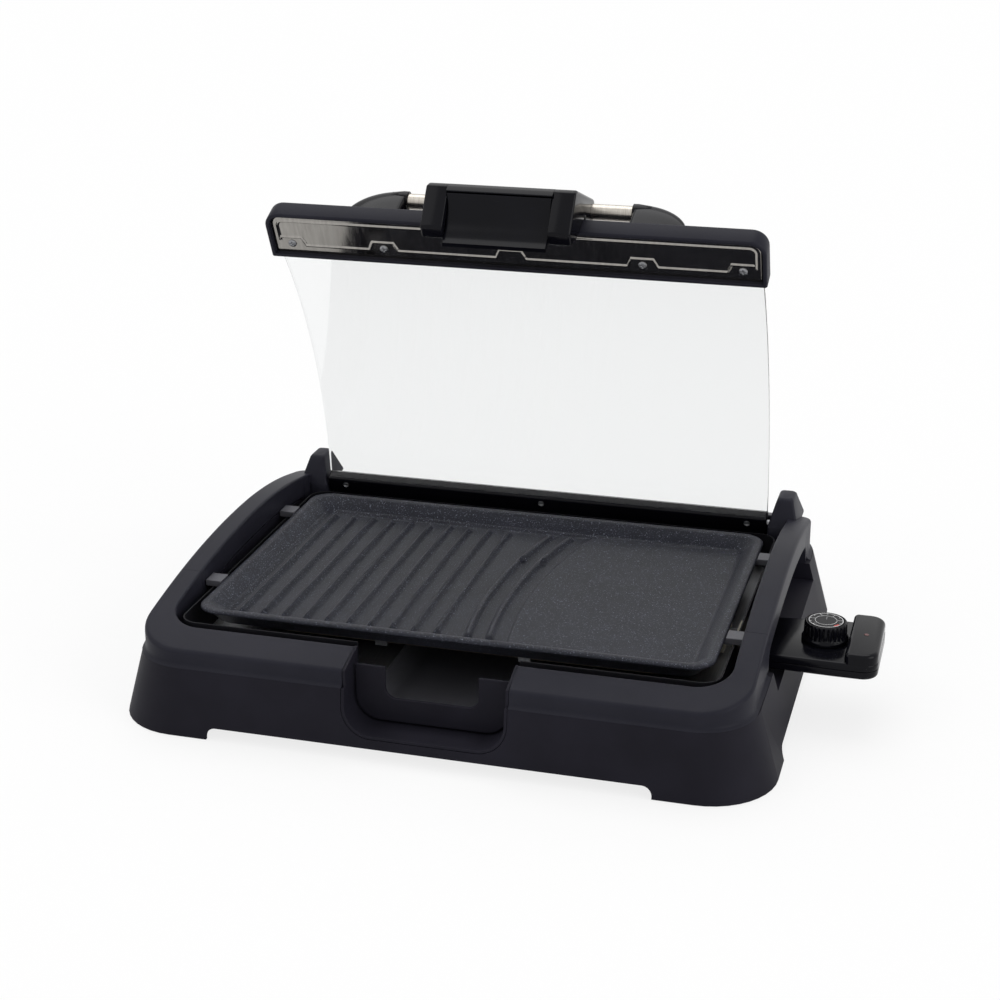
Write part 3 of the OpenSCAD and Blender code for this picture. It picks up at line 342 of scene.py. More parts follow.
def nonstick():
    """Cast aluminium with a sprayed non-stick coat: charcoal blue with paler flecks about 1 mm across, a
    silky sheen and a low, even relief. The flecks are drawn a little coarser than real so that they show."""
    m, t, s, where = finish("nonstick_speckled", **{"Specular IOR Level": 0.12})
    speckle = {"Vector": where, "Scale": 1000 / FLECK, "Detail": 2.0, "Roughness": 0.7}
    fleck = add(t, "ShaderNodeTexNoise", speckle).outputs[0]
    cloud = add(t, "ShaderNodeTexNoise", {"Vector": where, "Scale": 60.0, "Detail": 3.0}).outputs[0]
    base = ramp(t, cloud, [(0.35, linear("#202128")), (0.7, linear("#26272f"))])
    flecks = ramp(t, fleck, [(0.62, (0, 0, 0, 1)), (0.7, (1, 1, 1, 1))])
    mix = add(t, "ShaderNodeMix", {0: flecks, 6: base, 7: linear("#8b90a0")}, data_type="RGBA")
    t.links.new(mix.outputs[2], s.inputs["Base Color"])
    gloss = add(t, "ShaderNodeMapRange", {"Value": fleck, "To Min": 0.3, "To Max": 0.5})
    t.links.new(gloss.outputs[0], s.inputs["Roughness"])
    bump = add(t, "ShaderNodeBump", {"Height": fleck, "Strength": 0.35, "Distance": 0.0001})
    t.links.new(bump.outputs[0], s.inputs["Normal"])
    return m


def clear_glass():
    """Tempered soda-lime glass: clear, with a trace of grey. Its faces are even, so only the gloss drifts."""
    m, t, s, where = finish("glass_tempered_clear", **{"Base Color": linear("#fcfdfd"), "IOR": 1.5,
                                                       "Transmission Weight": 1.0})
    haze = add(t, "ShaderNodeTexNoise", {"Vector": where, "Scale": 14.0, "Detail": 1.0}).outputs[0]
    gloss = add(t, "ShaderNodeMapRange", {"Value": haze, "To Min": 0.0, "To Max": 0.02})
    t.links.new(gloss.outputs[0], s.inputs["Roughness"])
    return m


NONSTICK = nonstick()
GLASS = clear_glass()
WHITE_PRINT = moulded("pad_print_white", "#d9d9d9", "#e4e4e4", 0.5, 0.6, 0.005)
RED_PRINT = moulded("pad_print_red", "#b3281f", "#c2352a", 0.5, 0.6, 0.005)


# rim, handles and rear cover

CREST_Y, CREST_Z, FRONT_ARC, REAR_ARC = 34.0, 106.0, 870.0, 530.0
RIM_W, RIM_D, RIM_R = 498.0, 416.0, 42.0
OPEN_W, OPEN_FRONT, OPEN_REAR, OPEN_R = 459.0, -178.0, 173.0, 28.0
SEAM_F, SEAM_R, STEP_Z = -104.0, 146.0, 58.0
OUTER_EDGE, INNER_EDGE, RIM_WALL = 3.2, 2.0, 2.4
RECESS_HALF = 67.3
HAND_FILLET, LEG, BAR, SEAM_GAP = 7.0, 9.0, 22.0, 0.3


def top_line(y):
    """Height of the rim and arches: one circle in front of the crest and a smaller one behind it."""
    dy = y - CREST_Y
    r = np.where(dy < 0, FRONT_ARC, REAR_ARC)
    return CREST_Z - r + np.sqrt(r * r - dy * dy)


def arc(cx, cy, r, a0, a1, n):
    """Points of a circle from one angle to another, in degrees."""
    t = np.radians(np.linspace(a0, a1, n))
    return np.column_stack([cx + r * np.cos(t), cy + r * np.sin(t)])


def bend_path(end, x_half, y_edge, r, n=26, m=14):
    """Open path from the left seam round both corners of an end to the right seam: -1 front, 1 rear."""
    y_in = y_edge - end * r
    side = np.linspace(SEAM_F if end < 0 else SEAM_R, y_in, n)
    left = np.column_stack([np.full(n, -x_half), side])
    right = np.column_stack([np.full(n, x_half), side[::-1]])
    a = (180, 270) if end < 0 else (180, 90)
    c1 = arc(-x_half + r, y_in, r, a[0], a[1], m)
    a = (270, 360) if end < 0 else (90, 0)
    c2 = arc(x_half - r, y_in, r, a[0], a[1], m)
    mid = np.column_stack([np.linspace(-x_half + r, x_half - r, 90), np.full(90, y_edge)])
    return np.concatenate([left[:-1], c1, mid[1:-1], c2, right[1:]])


def across_rim(outer, inner, low, shell):
    """Sections of the rim: up the outer side, over its round edge, across the top and over a smaller round
    edge down the inner side. It then goes back up the hollow of a shell, or is closed below as a bar. Each
    point is outer + d * (unit vector to inner). Its height is the top line's less a drop, or a plain z."""
    e = inner - outer
    length = np.linalg.norm(e, axis=1, keepdims=True)
    e = e / length
    r1, r2 = OUTER_EDGE, INNER_EDGE
    rows = []

    def row(d, drop=None, z=None):
        xy = outer + e * d
        zz = top_line(xy[:, 1]) - drop if z is None else np.broadcast_to(z, len(xy))
        rows.append(np.column_stack([xy, zz]))

    if shell:
        for d, up in ((-3.6, 0), (-3.2, 0.5), (-1.2, 1.1), (-0.4, 2.2), (-0.1, 4)):
            row(d, z=low + up)
    else:
        for d, up in ((1.6, 0), (0.5, 0.5), (0.0, 1.8)):
            row(d, z=low + up)
    for a in np.radians(np.linspace(0, 90, 7)):
        row(r1 * (1 - math.cos(a)), drop=r1 * (1 - math.sin(a)))
    for f in np.linspace(0.1, 0.9, 6):
        row(r1 + (length - r1 - r2) * f, drop=0)
    for a in np.radians(np.linspace(0, 90, 6)):
        row(length - r2 + r2 * math.sin(a), drop=r2 * (1 - math.cos(a)))
    if shell:
        row(length, z=low)
        row(length - RIM_WALL, z=low)
        row(length - RIM_WALL, drop=3)
        row(3.0, drop=3)
        row(RIM_WALL, z=low)
    else:
        for d, up in ((0.0, 1.8), (0.5, 0.5), (1.6, 0)):
            row(length - d, z=low + up)
    return np.stack(rows)


def rim_end(end, half=None):
    """Front rim or rear cover as a hollow shell, all of it or the part left or right of the recess."""
    outer = bend_path(end, RIM_W / 2, end * RIM_D / 2, RIM_R)
    inner = bend_path(end, OPEN_W / 2, OPEN_FRONT if end < 0 else OPEN_REAR, OPEN_R)
    if half is not None:
        keep = outer[:, 0] * half > RECESS_HALF
        cut = np.array([[half * RECESS_HALF, -RIM_D / 2]]), np.array([[half * RECESS_HALF, OPEN_FRONT]])
        outer, inner = (np.concatenate([a[keep], b][::-half]) for a, b in zip((outer, inner), cut))
    skin = across_rim(outer, inner, STEP_Z, True)
    return stack(skin.transpose(1, 0, 2))


def handle(side):
    """Arched carrying bar: a closed section along Y whose underside follows the top line at the bar's depth,
    with a leg and a round inner corner at each end."""
    y0, y1, r = SEAM_F + SEAM_GAP, SEAM_R - SEAM_GAP, HAND_FILLET
    h0, h1 = y0 + LEG, y1 - LEG
    t = r * (1 - np.cos(np.linspace(0, np.pi / 2, 9)))
    ys = np.concatenate([[y0, h0], h0 + t, np.linspace(h0 + r, h1 - r, 60)[1:-1], (h1 - t)[::-1], [h1, y1]])
    near = np.minimum(np.minimum(ys - h0, h1 - ys), r)
    low = top_line(ys) - BAR - (r - np.sqrt(np.maximum(r * r - (r - near) ** 2, 0)))
    low[[0, 1, -2, -1]] = STEP_Z
    outer = np.column_stack([np.full(len(ys), side * RIM_W / 2), ys])
    inner = np.column_stack([np.full(len(ys), side * OPEN_W / 2), ys])
    return stack(across_rim(outer, inner, low, False).transpose(1, 0, 2))


rim_parts = joined(rim_end(-1, -1), rim_end(-1, 1))
piece("front_rim_skin", rim_parts, "base", RIM_ABS, ["front_rim"], sharp=50)
piece("left_handle_skin", handle(-1), "base", RIM_ABS, ["left_handle_arch"], sharp=50)
piece("right_handle_skin", handle(1), "base", RIM_ABS, ["right_handle_arch"], sharp=50)
piece("rear_cover_skin", rim_end(1), "base", RIM_ABS, ["rear_cover"], sharp=50)

# Hinge ear: its inner face, then its outlines as z, near and far x, near and far y, corner radius
EAR_X = 212.0
EAR_LEVELS = ((72.5, 0, 16.5, 149, 172, 1.5), (84, 0, 17, 149, 172.4, 1.5), (84.3, 0, 26.8, 149.2, 199.6, 2),
              (86, 0.2, 26.8, 149.6, 199.4, 2.5), (104, 5, 21.6, 158.6, 188.4, 2.5),
              (107, 6, 20.9, 160.4, 186.8, 3), (108.5, 7, 19.8, 161.8, 185.2, 3.5),
              (109, 8.6, 18.2, 163.6, 183.4, 4))


def ear(side):
    """Hinge ear: a block that narrows upwards, from a stem inside the rim to a crown with a round edge."""
    rings = []
    for z, x0, x1, y0, y1, r in EAR_LEVELS:
        x0, x1 = sorted((side * (EAR_X + x0), side * (EAR_X + x1)))
        rings.append((box_plan(x1 - x0, y1 - y0, r, (x0 + x1) / 2, (y0 + y1) / 2, 6), z))
    return stack(upright(rings))


piece("left_ear_skin", ear(-1), "base", RIM_ABS, ["left_hinge_ear"], sharp=38)
piece("right_ear_skin", ear(1), "base", RIM_ABS, ["right_hinge_ear"], sharp=38)

# plate

PLATE_W, PLATE_D, PLATE_MID = 428.0, 286.0, -15.0
COOK_Z, PLATE_Z = 73.0, 85.5
COOK_W, COOK_D = 392.0, 250.0
DIVIDER_X, DIVIDER_Y, DIVIDER_R = 26.0, -46.0, 560.0
RIBS, RIB_PITCH, RIB_HIGH, RIB_HALF, RIB_BEND = 10, 18.5, 4.5, 3.9, 0.00012
FLAT_HIGH, RIDGE_HALF, RIDGES = 1.5, 4.2, (3, 21)
SLOT_DEEP, SLOT_R, WALL_FOOT = 3.6, 2.9, 3.0
# Drain slots: x from the divider, y, half width, half depth
SLOTS = ((-25, -128, 4.5, 3), (-6, -128, 4.5, 3), (14, -128, 4.5, 3),
         (-12, 36, 3, 6), (7, 36, 3, 6), (-12, -52, 3, 6))
# Wall and rolled edge of the plate: distance in from its outline, corner radius, height over the edge's top
WALL = ((18, 10, -9.5), (16, 11.5, -7.3), (13, 12.5, -5), (8.5, 14.6, -1.3), (7, 15.5, -0.4), (5.5, 16.5, 0),
        (2.5, 18, 0), (1, 19, -0.4), (0.2, 19.7, -1.2), (0, 20, -2.1), (0.2, 19.7, -2.8), (0.8, 19, -3.1),
        (4, 17, -3.2), (13, 13, -15), (15, 12, -16.3), (18, 10, -16.5))


def smooth(x):
    """Cubic step from 0 to 1."""
    x = np.clip(x, 0, 1)
    return x * x * (3 - 2 * x)


def cooking_face():
    """Height field of the cooking face: ribs along Y with rounded backs that bend a little more one by one, a
    raised flat zone inside the circle of the divider, two rounded ridges that follow it, drain slots as dips,
    and a round foot where the wall starts."""
    nx, ny, r = 430, 190, 10.0
    x = np.linspace(-COOK_W / 2, COOK_W / 2, nx)
    corner = np.maximum(np.abs(x) - (COOK_W / 2 - r), 0)
    reach = COOK_D / 2 - r + np.sqrt(r * r - corner ** 2)
    v = np.linspace(-1, 1, ny)
    xx = np.repeat(x[:, None], ny, 1)
    yy = v[None, :] * reach[:, None]
    z = np.zeros_like(xx)
    y_abs = yy + PLATE_MID
    for i in range(RIBS):
        centre = -COOK_W / 2 + 12 + i * RIB_PITCH + RIB_BEND * (y_abs - PLATE_MID) ** 2 * (i / (RIBS - 1))
        bump = smooth(1 - np.abs(xx - centre) / RIB_HALF)
        z += RIB_HIGH * bump * smooth((COOK_D / 2 - 7 - (i % 2) * 3 - np.abs(yy)) / 7)
    away = np.sqrt((xx - DIVIDER_X - DIVIDER_R) ** 2 + (y_abs - DIVIDER_Y) ** 2) - DIVIDER_R
    z += FLAT_HIGH * smooth((-12 - away) / 1.2 + 0.5) * smooth((COOK_D / 2 - 2 - np.abs(yy)) / 2)
    for d in RIDGES:
        z = np.maximum(z, RIB_HIGH * smooth(1.25 * (1 - np.abs(away - d) / RIDGE_HALF))
                       * smooth((COOK_D / 2 - 8 - np.abs(yy)) / 6))
    for cx, cy, hx, hy in SLOTS:
        qx = np.maximum(np.abs(xx - DIVIDER_X - cx) - hx + SLOT_R, 0)
        qy = np.maximum(np.abs(y_abs - cy) - hy + SLOT_R, 0)
        inside = SLOT_R - np.sqrt(qx * qx + qy * qy)
        z = z - (z + SLOT_DEEP) * smooth(inside / 1.2)
    edge = np.minimum(COOK_W / 2 - np.abs(xx), reach[:, None] - np.abs(yy))
    z = np.maximum(z, WALL_FOOT * (1 - smooth(edge / 5)))
    return sheet(np.stack([xx, y_abs, COOK_Z + z], -1))


def plate_wall():
    """Wall and edge of the plate: outlines from the foot of the wall up its slope, over the rolled edge and
    down under the plate."""
    rings = upright([(box_plan(PLATE_W - 2 * by, PLATE_D - 2 * by, r, 0, PLATE_MID, 14), PLATE_Z + up)
                     for by, r, up in WALL])
    points, faces = sheet(np.asarray(rings), close_v=True)
    n = len(rings[0])
    faces.append([(len(rings) - 1) * n + k for k in range(n)])
    return points, faces


piece("grill_plate_skin", joined(cooking_face(), plate_wall()), "base", NONSTICK, ["grill_plate"],
      sharp=60)

# lid

GLASS_W, GLASS_REACH, GLASS_RISE, GLASS_T = 421.0, 276.0, 20.0, 4.0
FRAME_W, FRAME_REACH, FRAME_LEN, FRAME_TOP = 430.0, 318.0, 46.0, 22.0
STRIP_LOW, SKIRT, FRAME_R, FRAME_WALL = 6.0, 2.0, 14.0, 3.7
SCREW_X, SCREW_REACH, SCREW_R = (-195.0, -112.0, 112.0, 195.0), 285.0, 3.6
G0, G1 = np.array([6.0, 2.0]), np.array([GLASS_REACH, 12.6])


def glass_arc(offset, n=40):
    """The glass's mid line, a circle through both ends with the given rise, moved out by an offset."""
    chord = np.linalg.norm(G1 - G0)
    r = chord * chord / (8 * GLASS_RISE) + GLASS_RISE / 2
    up = np.array([-(G1 - G0)[1], (G1 - G0)[0]]) / chord
    mid = (G0 + G1) / 2 - up * (r - GLASS_RISE)
    a0 = math.atan2(*(G0 - mid)[::-1])
    a1 = math.atan2(*(G1 - mid)[::-1])
    t = np.linspace(a0, a1, n)
    return mid + (r + offset) * np.column_stack([np.cos(t), np.sin(t)])


def drawn_out(section, half, r=1.0, steps=4):
    """A lid section drawn out along X to both sides, with its end edges rounded. A ring 1 mm in from each
    rounded edge keeps the shading of the long faces true."""
    ahead = np.roll(section, -1, 0)
    if (ahead[:, 1] * section[:, 0] - section[:, 1] * ahead[:, 0]).sum() < 0:
        section = section[::-1]
    rings = pillow(section, -half, half, r, r, steps)
    rings[steps:steps] = [(section, r + 1 - half), (section, half - r - 1)]
    return stack(sideways(rings))


def glass_sheet():
    """Lid glass: arcs half a thickness either side of the mid line, with ground edges, drawn out along X."""
    section = np.concatenate([glass_arc(GLASS_T / 2), glass_arc(-GLASS_T / 2)[::-1]])
    ground_edge = np.zeros(len(section))
    ground_edge[[0, len(section) // 2 - 1, len(section) // 2, -1]] = 1.4
    return drawn_out(rounded(section, ground_edge, 4), GLASS_W / 2, 1.2)


piece("lid_glass_skin", glass_sheet(), "lid", GLASS, ["lid_glass"], lid=True, sharp=60)

# The frame's skirt from its inner side round its lower edge: inset and height
SKIRT_EDGE = ((3.6, STRIP_LOW + 2), (3.5, SKIRT + 0.6), (3.0, SKIRT + 0.1), (1.4, SKIRT), (0.5, SKIRT + 0.4),
              (0, SKIRT + 1.4))
TOP_R = 4.0


def lid_frame():
    """Front frame: its plan, with round front corners, carried round the skirt's lower edge, up the sides and
    over a quarter round to the flat top."""
    half, rear = FRAME_W / 2, FRAME_LEN - FRAME_REACH
    plan = rounded([[-half, -FRAME_REACH], [half, -FRAME_REACH], [half, rear], [-half, rear]],
                   [FRAME_R, FRAME_R, 2, 2], 10)
    rings = [(inset(plan, by), z) for by, z in SKIRT_EDGE]
    rings += [(inset(plan, TOP_R * (1 - math.cos(a))), FRAME_TOP - TOP_R * (1 - math.sin(a)))
              for a in np.radians(np.linspace(0, 90, 7))]
    return stack(upright(rings))


piece("front_frame_skin", lid_frame(), "lid", RIM_ABS, ["front_frame"], lid=True)

BEAD_HIGH, BEAD_HALF, BEAD_IN, BEAD_REACH = 0.9, 1.4, 6.0, 283.5
STRIP_R = 11.0


def strip():
    """Inner strip: a polished panel whose face carries a raised bead. Along the glass the bead's reach is a
    trapezoid wave of x that steps out round each screw and at the middle. It then follows the outline of the
    panel, inside its edge. The height is a cubic bump of the distance to that line. The ends are clipped to
    the frame's round corners, and the hidden back has fewer columns."""
    half, front = FRAME_W / 2 - FRAME_WALL, FRAME_REACH - FRAME_WALL
    x = np.linspace(-half, half, 640)
    reach = np.linspace(front, FRAME_REACH - FRAME_LEN + 0.6, 110)
    xx, rr = np.meshgrid(x, reach, indexing="ij")
    line = np.full_like(x, BEAD_REACH)
    for s in (*SCREW_X, 0):
        line = np.maximum(line, BEAD_REACH + 8 * np.clip((13 - np.abs(x - s)) / 4, 0, 1))
    slope = np.gradient(line, x)[:, None]
    along = np.abs(rr - line[:, None]) / np.sqrt(1 + slope ** 2) + 50 * (np.abs(xx) > half - BEAD_IN)
    qx, qy = np.abs(xx) - (half - STRIP_R), rr - (front - STRIP_R)
    inside = STRIP_R - np.where((qx > 0) & (qy > 0), np.hypot(qx, qy), np.maximum(qx, qy))
    round_edge = np.abs(inside - BEAD_IN) + 50 * (rr < line[:, None])
    bead = BEAD_HIGH * smooth(1 - np.minimum(along, round_edge) / BEAD_HALF)
    face = np.stack([xx, -rr, STRIP_LOW - bead + 0.8 * (1 - smooth(inside / 2))], -1)
    back = np.stack([xx, -rr, np.full_like(xx, STRIP_LOW + 3)], -1)
    corner = FRAME_R - FRAME_WALL
    keep = np.minimum(np.sqrt(np.maximum(corner ** 2 - np.maximum(qy + 1, 0) ** 2, 0)), corner)
    limit = half - corner + keep
    for side in (face, back):
        side[..., 0] = np.clip(xx, -limit, limit)
    few = np.r_[109, 27:-1:-3]
    return stack(np.concatenate([face, back[:, few]], 1))


piece("inner_strip_skin", strip(), "lid", MIRROR, ["inner_strip"], lid=True, sharp=50)


def screw_head(x, reach, n, r, down=-1):
    """Pan-head screw with a cross recess, seen from below the lid: a dome and two crossed slots as dips."""
    t = np.linspace(0, 2 * np.pi, 33)[:-1]
    s = np.array([1.0, 0.96, 0.86, 0.7, 0.5, 0.3, 0.12])
    rr, tt = np.meshgrid(s * r, t, indexing="ij")
    h = 1.6 * np.sqrt(np.clip(1.02 - (rr / r) ** 2 * 0.75, 0, 1))
    cross = np.minimum(np.abs(rr * np.cos(tt)), np.abs(rr * np.sin(tt)))
    h = h - 0.9 * (cross < r * 0.16) * (rr < r * 0.66)
    rings = np.stack([x + rr * np.cos(tt), -reach + rr * np.sin(tt), n + down * h], -1)
    foot = rings[:1].copy()
    foot[..., 2] = n - down * 3
    return stack(np.concatenate([foot, rings]))


RAIL_HALF, RAIL_DEEP, RAIL_SCREW_X, RAIL_SCREW_REACH = 210.5, 7.0, (-193.0, 0.0, 193.0), 5.0
heads = joined(*[screw_head(x, SCREW_REACH, STRIP_LOW + 0.3, SCREW_R) for x in SCREW_X])
piece("strip_screw_heads", heads, "lid", ZINC, ["strip_screws"], lid=True, sharp=30)
heads = joined(*[screw_head(x, RAIL_SCREW_REACH, -RAIL_DEEP, 3.0) for x in RAIL_SCREW_X])
piece("rail_screw_heads", heads, "lid", ZINC, ["rail_screws"], lid=True, sharp=30)

HANDLE_REACH, HANDLE_N, HANDLE_R, ARM_X, ARM_LEN = 306.0, 46.0, 6.8, 99.0, 47.0
ARM_HIGH = HANDLE_N + HANDLE_R + 2 - FRAME_TOP


def arm(side):
    """Fin-shaped arm standing on the frame. Its height over the frame is a quarter ellipse of x, and each
    section across it is a half superellipse, so the flanks are upright and the back is round. It narrows
    towards its toe. A collar with a rolled mouth holds the tube."""
    u = np.sin(np.linspace(0, np.pi / 2, 30))
    u = np.concatenate([[0, 0], u[1:]])
    height = ARM_HIGH * np.sqrt(1 - np.minimum(u, 0.998) ** 2)
    half = 8.5 * (1 - 0.45 * u ** 3)
    lead = np.zeros_like(u)
    height[0], half[0], lead[0] = ARM_HIGH - 1.2, 7.3, -1.2
    t = np.linspace(0, np.pi, 33)
    c, s = np.cos(t), np.sin(t)
    cy, cn = np.sign(c) * np.abs(c) ** 0.62, s ** 0.62
    rings = np.stack([side * (ARM_X + 1.2 + lead[:, None] + (ARM_LEN - 1.2) * u[:, None]) * np.ones(33),
                      -HANDLE_REACH + half[:, None] * cy, FRAME_TOP + height[:, None] * cn], -1)
    mouth = [(-1.2, 0.1), (-1.6, 1.0), (-1.2, 1.8), (3, 1.9), (14, 0.6), (18, 3 - HANDLE_R)]
    collar = along_x([(ARM_X + dx, HANDLE_R + dr) for dx, dr in mouth], side, (HANDLE_REACH, HANDLE_N))
    return joined(stack(rings), collar)


piece("left_arm_skin", arm(-1), "lid", GLOSS, ["left_handle_arm"], lid=True, sharp=50)
piece("right_arm_skin", arm(1), "lid", GLOSS, ["right_handle_arm"], lid=True, sharp=50)

TUBE_HALF, TUBE_EDGE = 111.0, 0.4
tube_end = [(TUBE_HALF, HANDLE_R - 1.2), (TUBE_HALF, HANDLE_R - TUBE_EDGE), (TUBE_HALF - TUBE_EDGE, HANDLE_R)]
tube = along_x([(-x, r) for x, r in tube_end] + tube_end[::-1], 1, (HANDLE_REACH, HANDLE_N), 56)
piece("handle_tube_skin", tube, "lid", TUBE_STEEL, ["handle_tube"], lid=True)

GRIP_W, CHEEK = 126.0, 19.0
GRIP_BACK, GRIP_TOP = HANDLE_REACH - HANDLE_R - 4, HANDLE_N + HANDLE_R + 3
GRIP_FRONT, GRIP_SEAT = FRAME_REACH + 39, FRAME_REACH + 0.7
SCOOP_C, SCOOP_R = (GRIP_FRONT + 9, -40.0), 38.0
FLAP_T, FLAP_W = 3.0, GRIP_W - 2 * CHEEK


def slab_x(section, x0, x1, r0, r1, steps=5):
    """A lid section drawn out between two places on X, each end with its own edge radius."""
    return stack(sideways(pillow(section, x0, x1, r0, r1, steps)))


def grip():
    """Grip housing: a cheek at each end, and between them a core whose front is the arc that the flap lies in,
    with a thin lip along its upper edge."""
    back_and_top = [[GRIP_BACK, FRAME_TOP], [GRIP_BACK, GRIP_TOP - 5], [GRIP_BACK + 4, GRIP_TOP],
                    [HANDLE_REACH + 6, GRIP_TOP]]
    nose = [[GRIP_FRONT - 2, 9], [GRIP_FRONT, 3], [GRIP_FRONT - 3, -2]]
    foot = [[FRAME_REACH + 20, -28], [FRAME_REACH + 9, -28], [GRIP_SEAT, -8], [GRIP_SEAT, FRAME_TOP]]
    cheek = rounded(back_and_top + nose + foot, [2.4, 3, 3, 6, 5, 3, 2.4, 4, 3, 2.4, 0.5], 6)[::-1]
    core = np.concatenate([rounded(back_and_top + [[GRIP_FRONT - 3.5, 10.6]], [0.5, 3, 3, 6, 1.5], 6),
                           arc(*SCOOP_C, SCOOP_R + FLAP_T + 8, 104, 151, 16),
                           [[GRIP_SEAT, -10], [GRIP_SEAT, FRAME_TOP]]])[::-1]
    lip = np.array([[-4.4, 11.6], [-2.0, 9.0], [0.0, 3.0], [-0.3, -2.6], [-1.6, -2.6], [-1.7, 2.4],
                    [-3.6, 7.0], [-6.0, 8.4]]) + [GRIP_FRONT, 0]
    lip = rounded(lip, [0.3, 2, 2, 0.6, 0.6, 1, 1, 0.3], 5)[::-1]
    reach_in = FLAP_W / 2 + 0.5
    return joined(slab_x(lip, -reach_in, reach_in, 0.0, 0.0), slab_x(cheek, -GRIP_W / 2, -FLAP_W / 2, 2.2, 1.0),
                  slab_x(core, -reach_in, reach_in, 0.0, 0.0), slab_x(cheek, FLAP_W / 2, GRIP_W / 2, 1.0, 2.2))


def flap():
    """Latch flap: two arcs about the scoop's centre, joined by a small curl at the free edge."""
    near = arc(*SCOOP_C, SCOOP_R, 107, 171, 22)
    far = arc(*SCOOP_C, SCOOP_R + FLAP_T, 107, 171, 22)
    curl = [near[-1] + [-0.3, -1.2], near[-1] + [0.9, -2.2], far[-1] + [-0.2, -2.2], far[-1] + [-0.9, -1.0]]
    section = np.concatenate([near, curl, far[::-1]])
    edge = np.zeros(len(section))
    edge[[0, -1]] = 1.2
    return drawn_out(rounded(section, edge, 4), (FLAP_W - 0.6) / 2, 0.8)


piece("grip_skin", grip(), "lid", GLOSS, ["handle_grip"], lid=True, sharp=38)
piece("latch_flap_skin", flap(), "latch", GLOSS, ["latch_flap"], lid=True, sharp=38)

rail = rounded([[-9, -RAIL_DEEP], [12, -RAIL_DEEP], [12, 3.2], [9, 8.2], [-7, 8.2], [-9, 5]],
               [3, 3, 2.5, 1.5, 1.5, 1.5], 6)
piece("rear_rail_skin", drawn_out(rail, RAIL_HALF, 1.5), "lid", GLOSS, ["rear_rail", "glass_clamp"],
      lid=True, sharp=38)

# control

PROBE_Y, REACH_X, CASE_X0, CASE_HALF = -34.0, 332.0, 233.0, 42.0
SHOULDER_X, BLOCK_X = REACH_X - 33, REACH_X - 26.5
CASE_LOW, CASE_SEAM, DECK_Z, BLOCK_Z, END_R = 51.0, 57.8, 64.0, 72.0, 13.0


def control_case():
    """Case of the control: a low slab with a parting groove all round, and a higher block at its outer end."""
    corners = [[CASE_X0, 2 - CASE_HALF], [SHOULDER_X, -CASE_HALF], [REACH_X, -CASE_HALF],
               [REACH_X, CASE_HALF], [SHOULDER_X, CASE_HALF], [CASE_X0, CASE_HALF - 8]]
    plan = rounded(corners, [2, 3, END_R, END_R, 3, 2], 9) + [0, PROBE_Y]
    groove = [(inset(plan, 0.8), CASE_SEAM - 0.1), (inset(plan, 0.8), CASE_SEAM + 0.1)]
    rings = pillow(plan, CASE_LOW, CASE_SEAM - 0.2, 2.5, 0.4, 5) + groove
    rings += pillow(plan, CASE_SEAM + 0.2, DECK_Z, 0.4, 2.2, 6)
    half, end = CASE_HALF - 0.4, REACH_X - 0.3
    block = rounded([[BLOCK_X, -half], [end, -half], [end, half], [BLOCK_X, half]], [4, END_R, END_R, 4], 9)
    block_rings = pillow(block + [0, PROBE_Y], DECK_Z - 4, BLOCK_Z, 0, 3.4, 7)
    return joined(stack(upright(rings)), stack(upright(block_rings)))


piece("control_case_skin", control_case(), "control", GLOSS, ["probe_case", "probe_cover"],
      sharp=45)

KNOB = (286.0, PROBE_Y, 63.4)
GROOVES, GROOVE_DEEP = 28, 1.1


def grip_grooves(profile, t):
    """Grooves round the knob: half-round dips that fade in over the lower skirt and out at the top."""
    z = profile[:, 1][:, None]
    fade = smooth((z - 5.5) / 1.5) * smooth((17.2 - z) / 1.2) * (profile[:, 0][:, None] > 15.6)
    return GROOVE_DEEP * fade * np.maximum(0, np.cos(GROOVES * t)[None, :]) ** 0.6


knob_profile = [(3.2, 0), (18.2, 0), (19, 0.7), (19, 3.6), (18.6, 4.4), (17.8, 4.9), (17.5, 6), (17.45, 7.2),
                (17.4, 10), (17.3, 14), (17.2, 15.8), (17.0, 16.6), (16.5, 17.3), (15.9, 17.5), (15.4, 17.4),
                (15.1, 17.0), (15.05, 16.4), (3, 16.4)]
piece("knob_skin", turned(knob_profile, KNOB, 8 * GROOVES, grip_grooves), "knob", GLOSS, ["control_knob"],
      sharp=60)
dial_z = KNOB[2] + 16.5
dial = turned([(3, 0), (14.8, 0), (14.8, 0.9), (14.6, 1.15), (0.5, 1.15)], (KNOB[0], KNOB[1], dial_z), 96)
piece("dial_skin", dial, "knob", GLOSS, ["knob_dial"])
INK = 0.06


def ring_print(r0, r1, a0, a1, z, n=90):
    """A flat printed band between two radii and two angles in degrees."""
    rows = [np.column_stack([arc(KNOB[0], KNOB[1], r, a0, a1, n), np.full(n, z + h)])
            for r, h in ((r0, 0.0), (r0, INK), (r1, INK), (r1, 0.0))]
    return stack(np.stack(rows, 1))


START, SWEEP, TICKS, DIGIT_R = 225, 270, 10, 10.4
print_z = dial_z + 1.14
marks = [ring_print(13.4, 13.9, 0, 359.99, print_z, 120), ring_print(8.6, 8.95, 0, 359.99, print_z, 90)]
for k in range(TICKS + 1):
    mid = START - k * SWEEP / TICKS
    marks.append(ring_print(11.9, 13.3, mid - 1.2, mid + 1.2, print_z, 3))
marks.append(ring_print(1.5, 7.4, 89, 91, print_z, 3))
piece("dial_marks", joined(*marks), "knob", WHITE_PRINT, sharp=30)
piece("dial_red_zone", ring_print(11.6, 13.3, -52, -30, print_z + 0.01, 12), "knob", RED_PRINT, sharp=30)


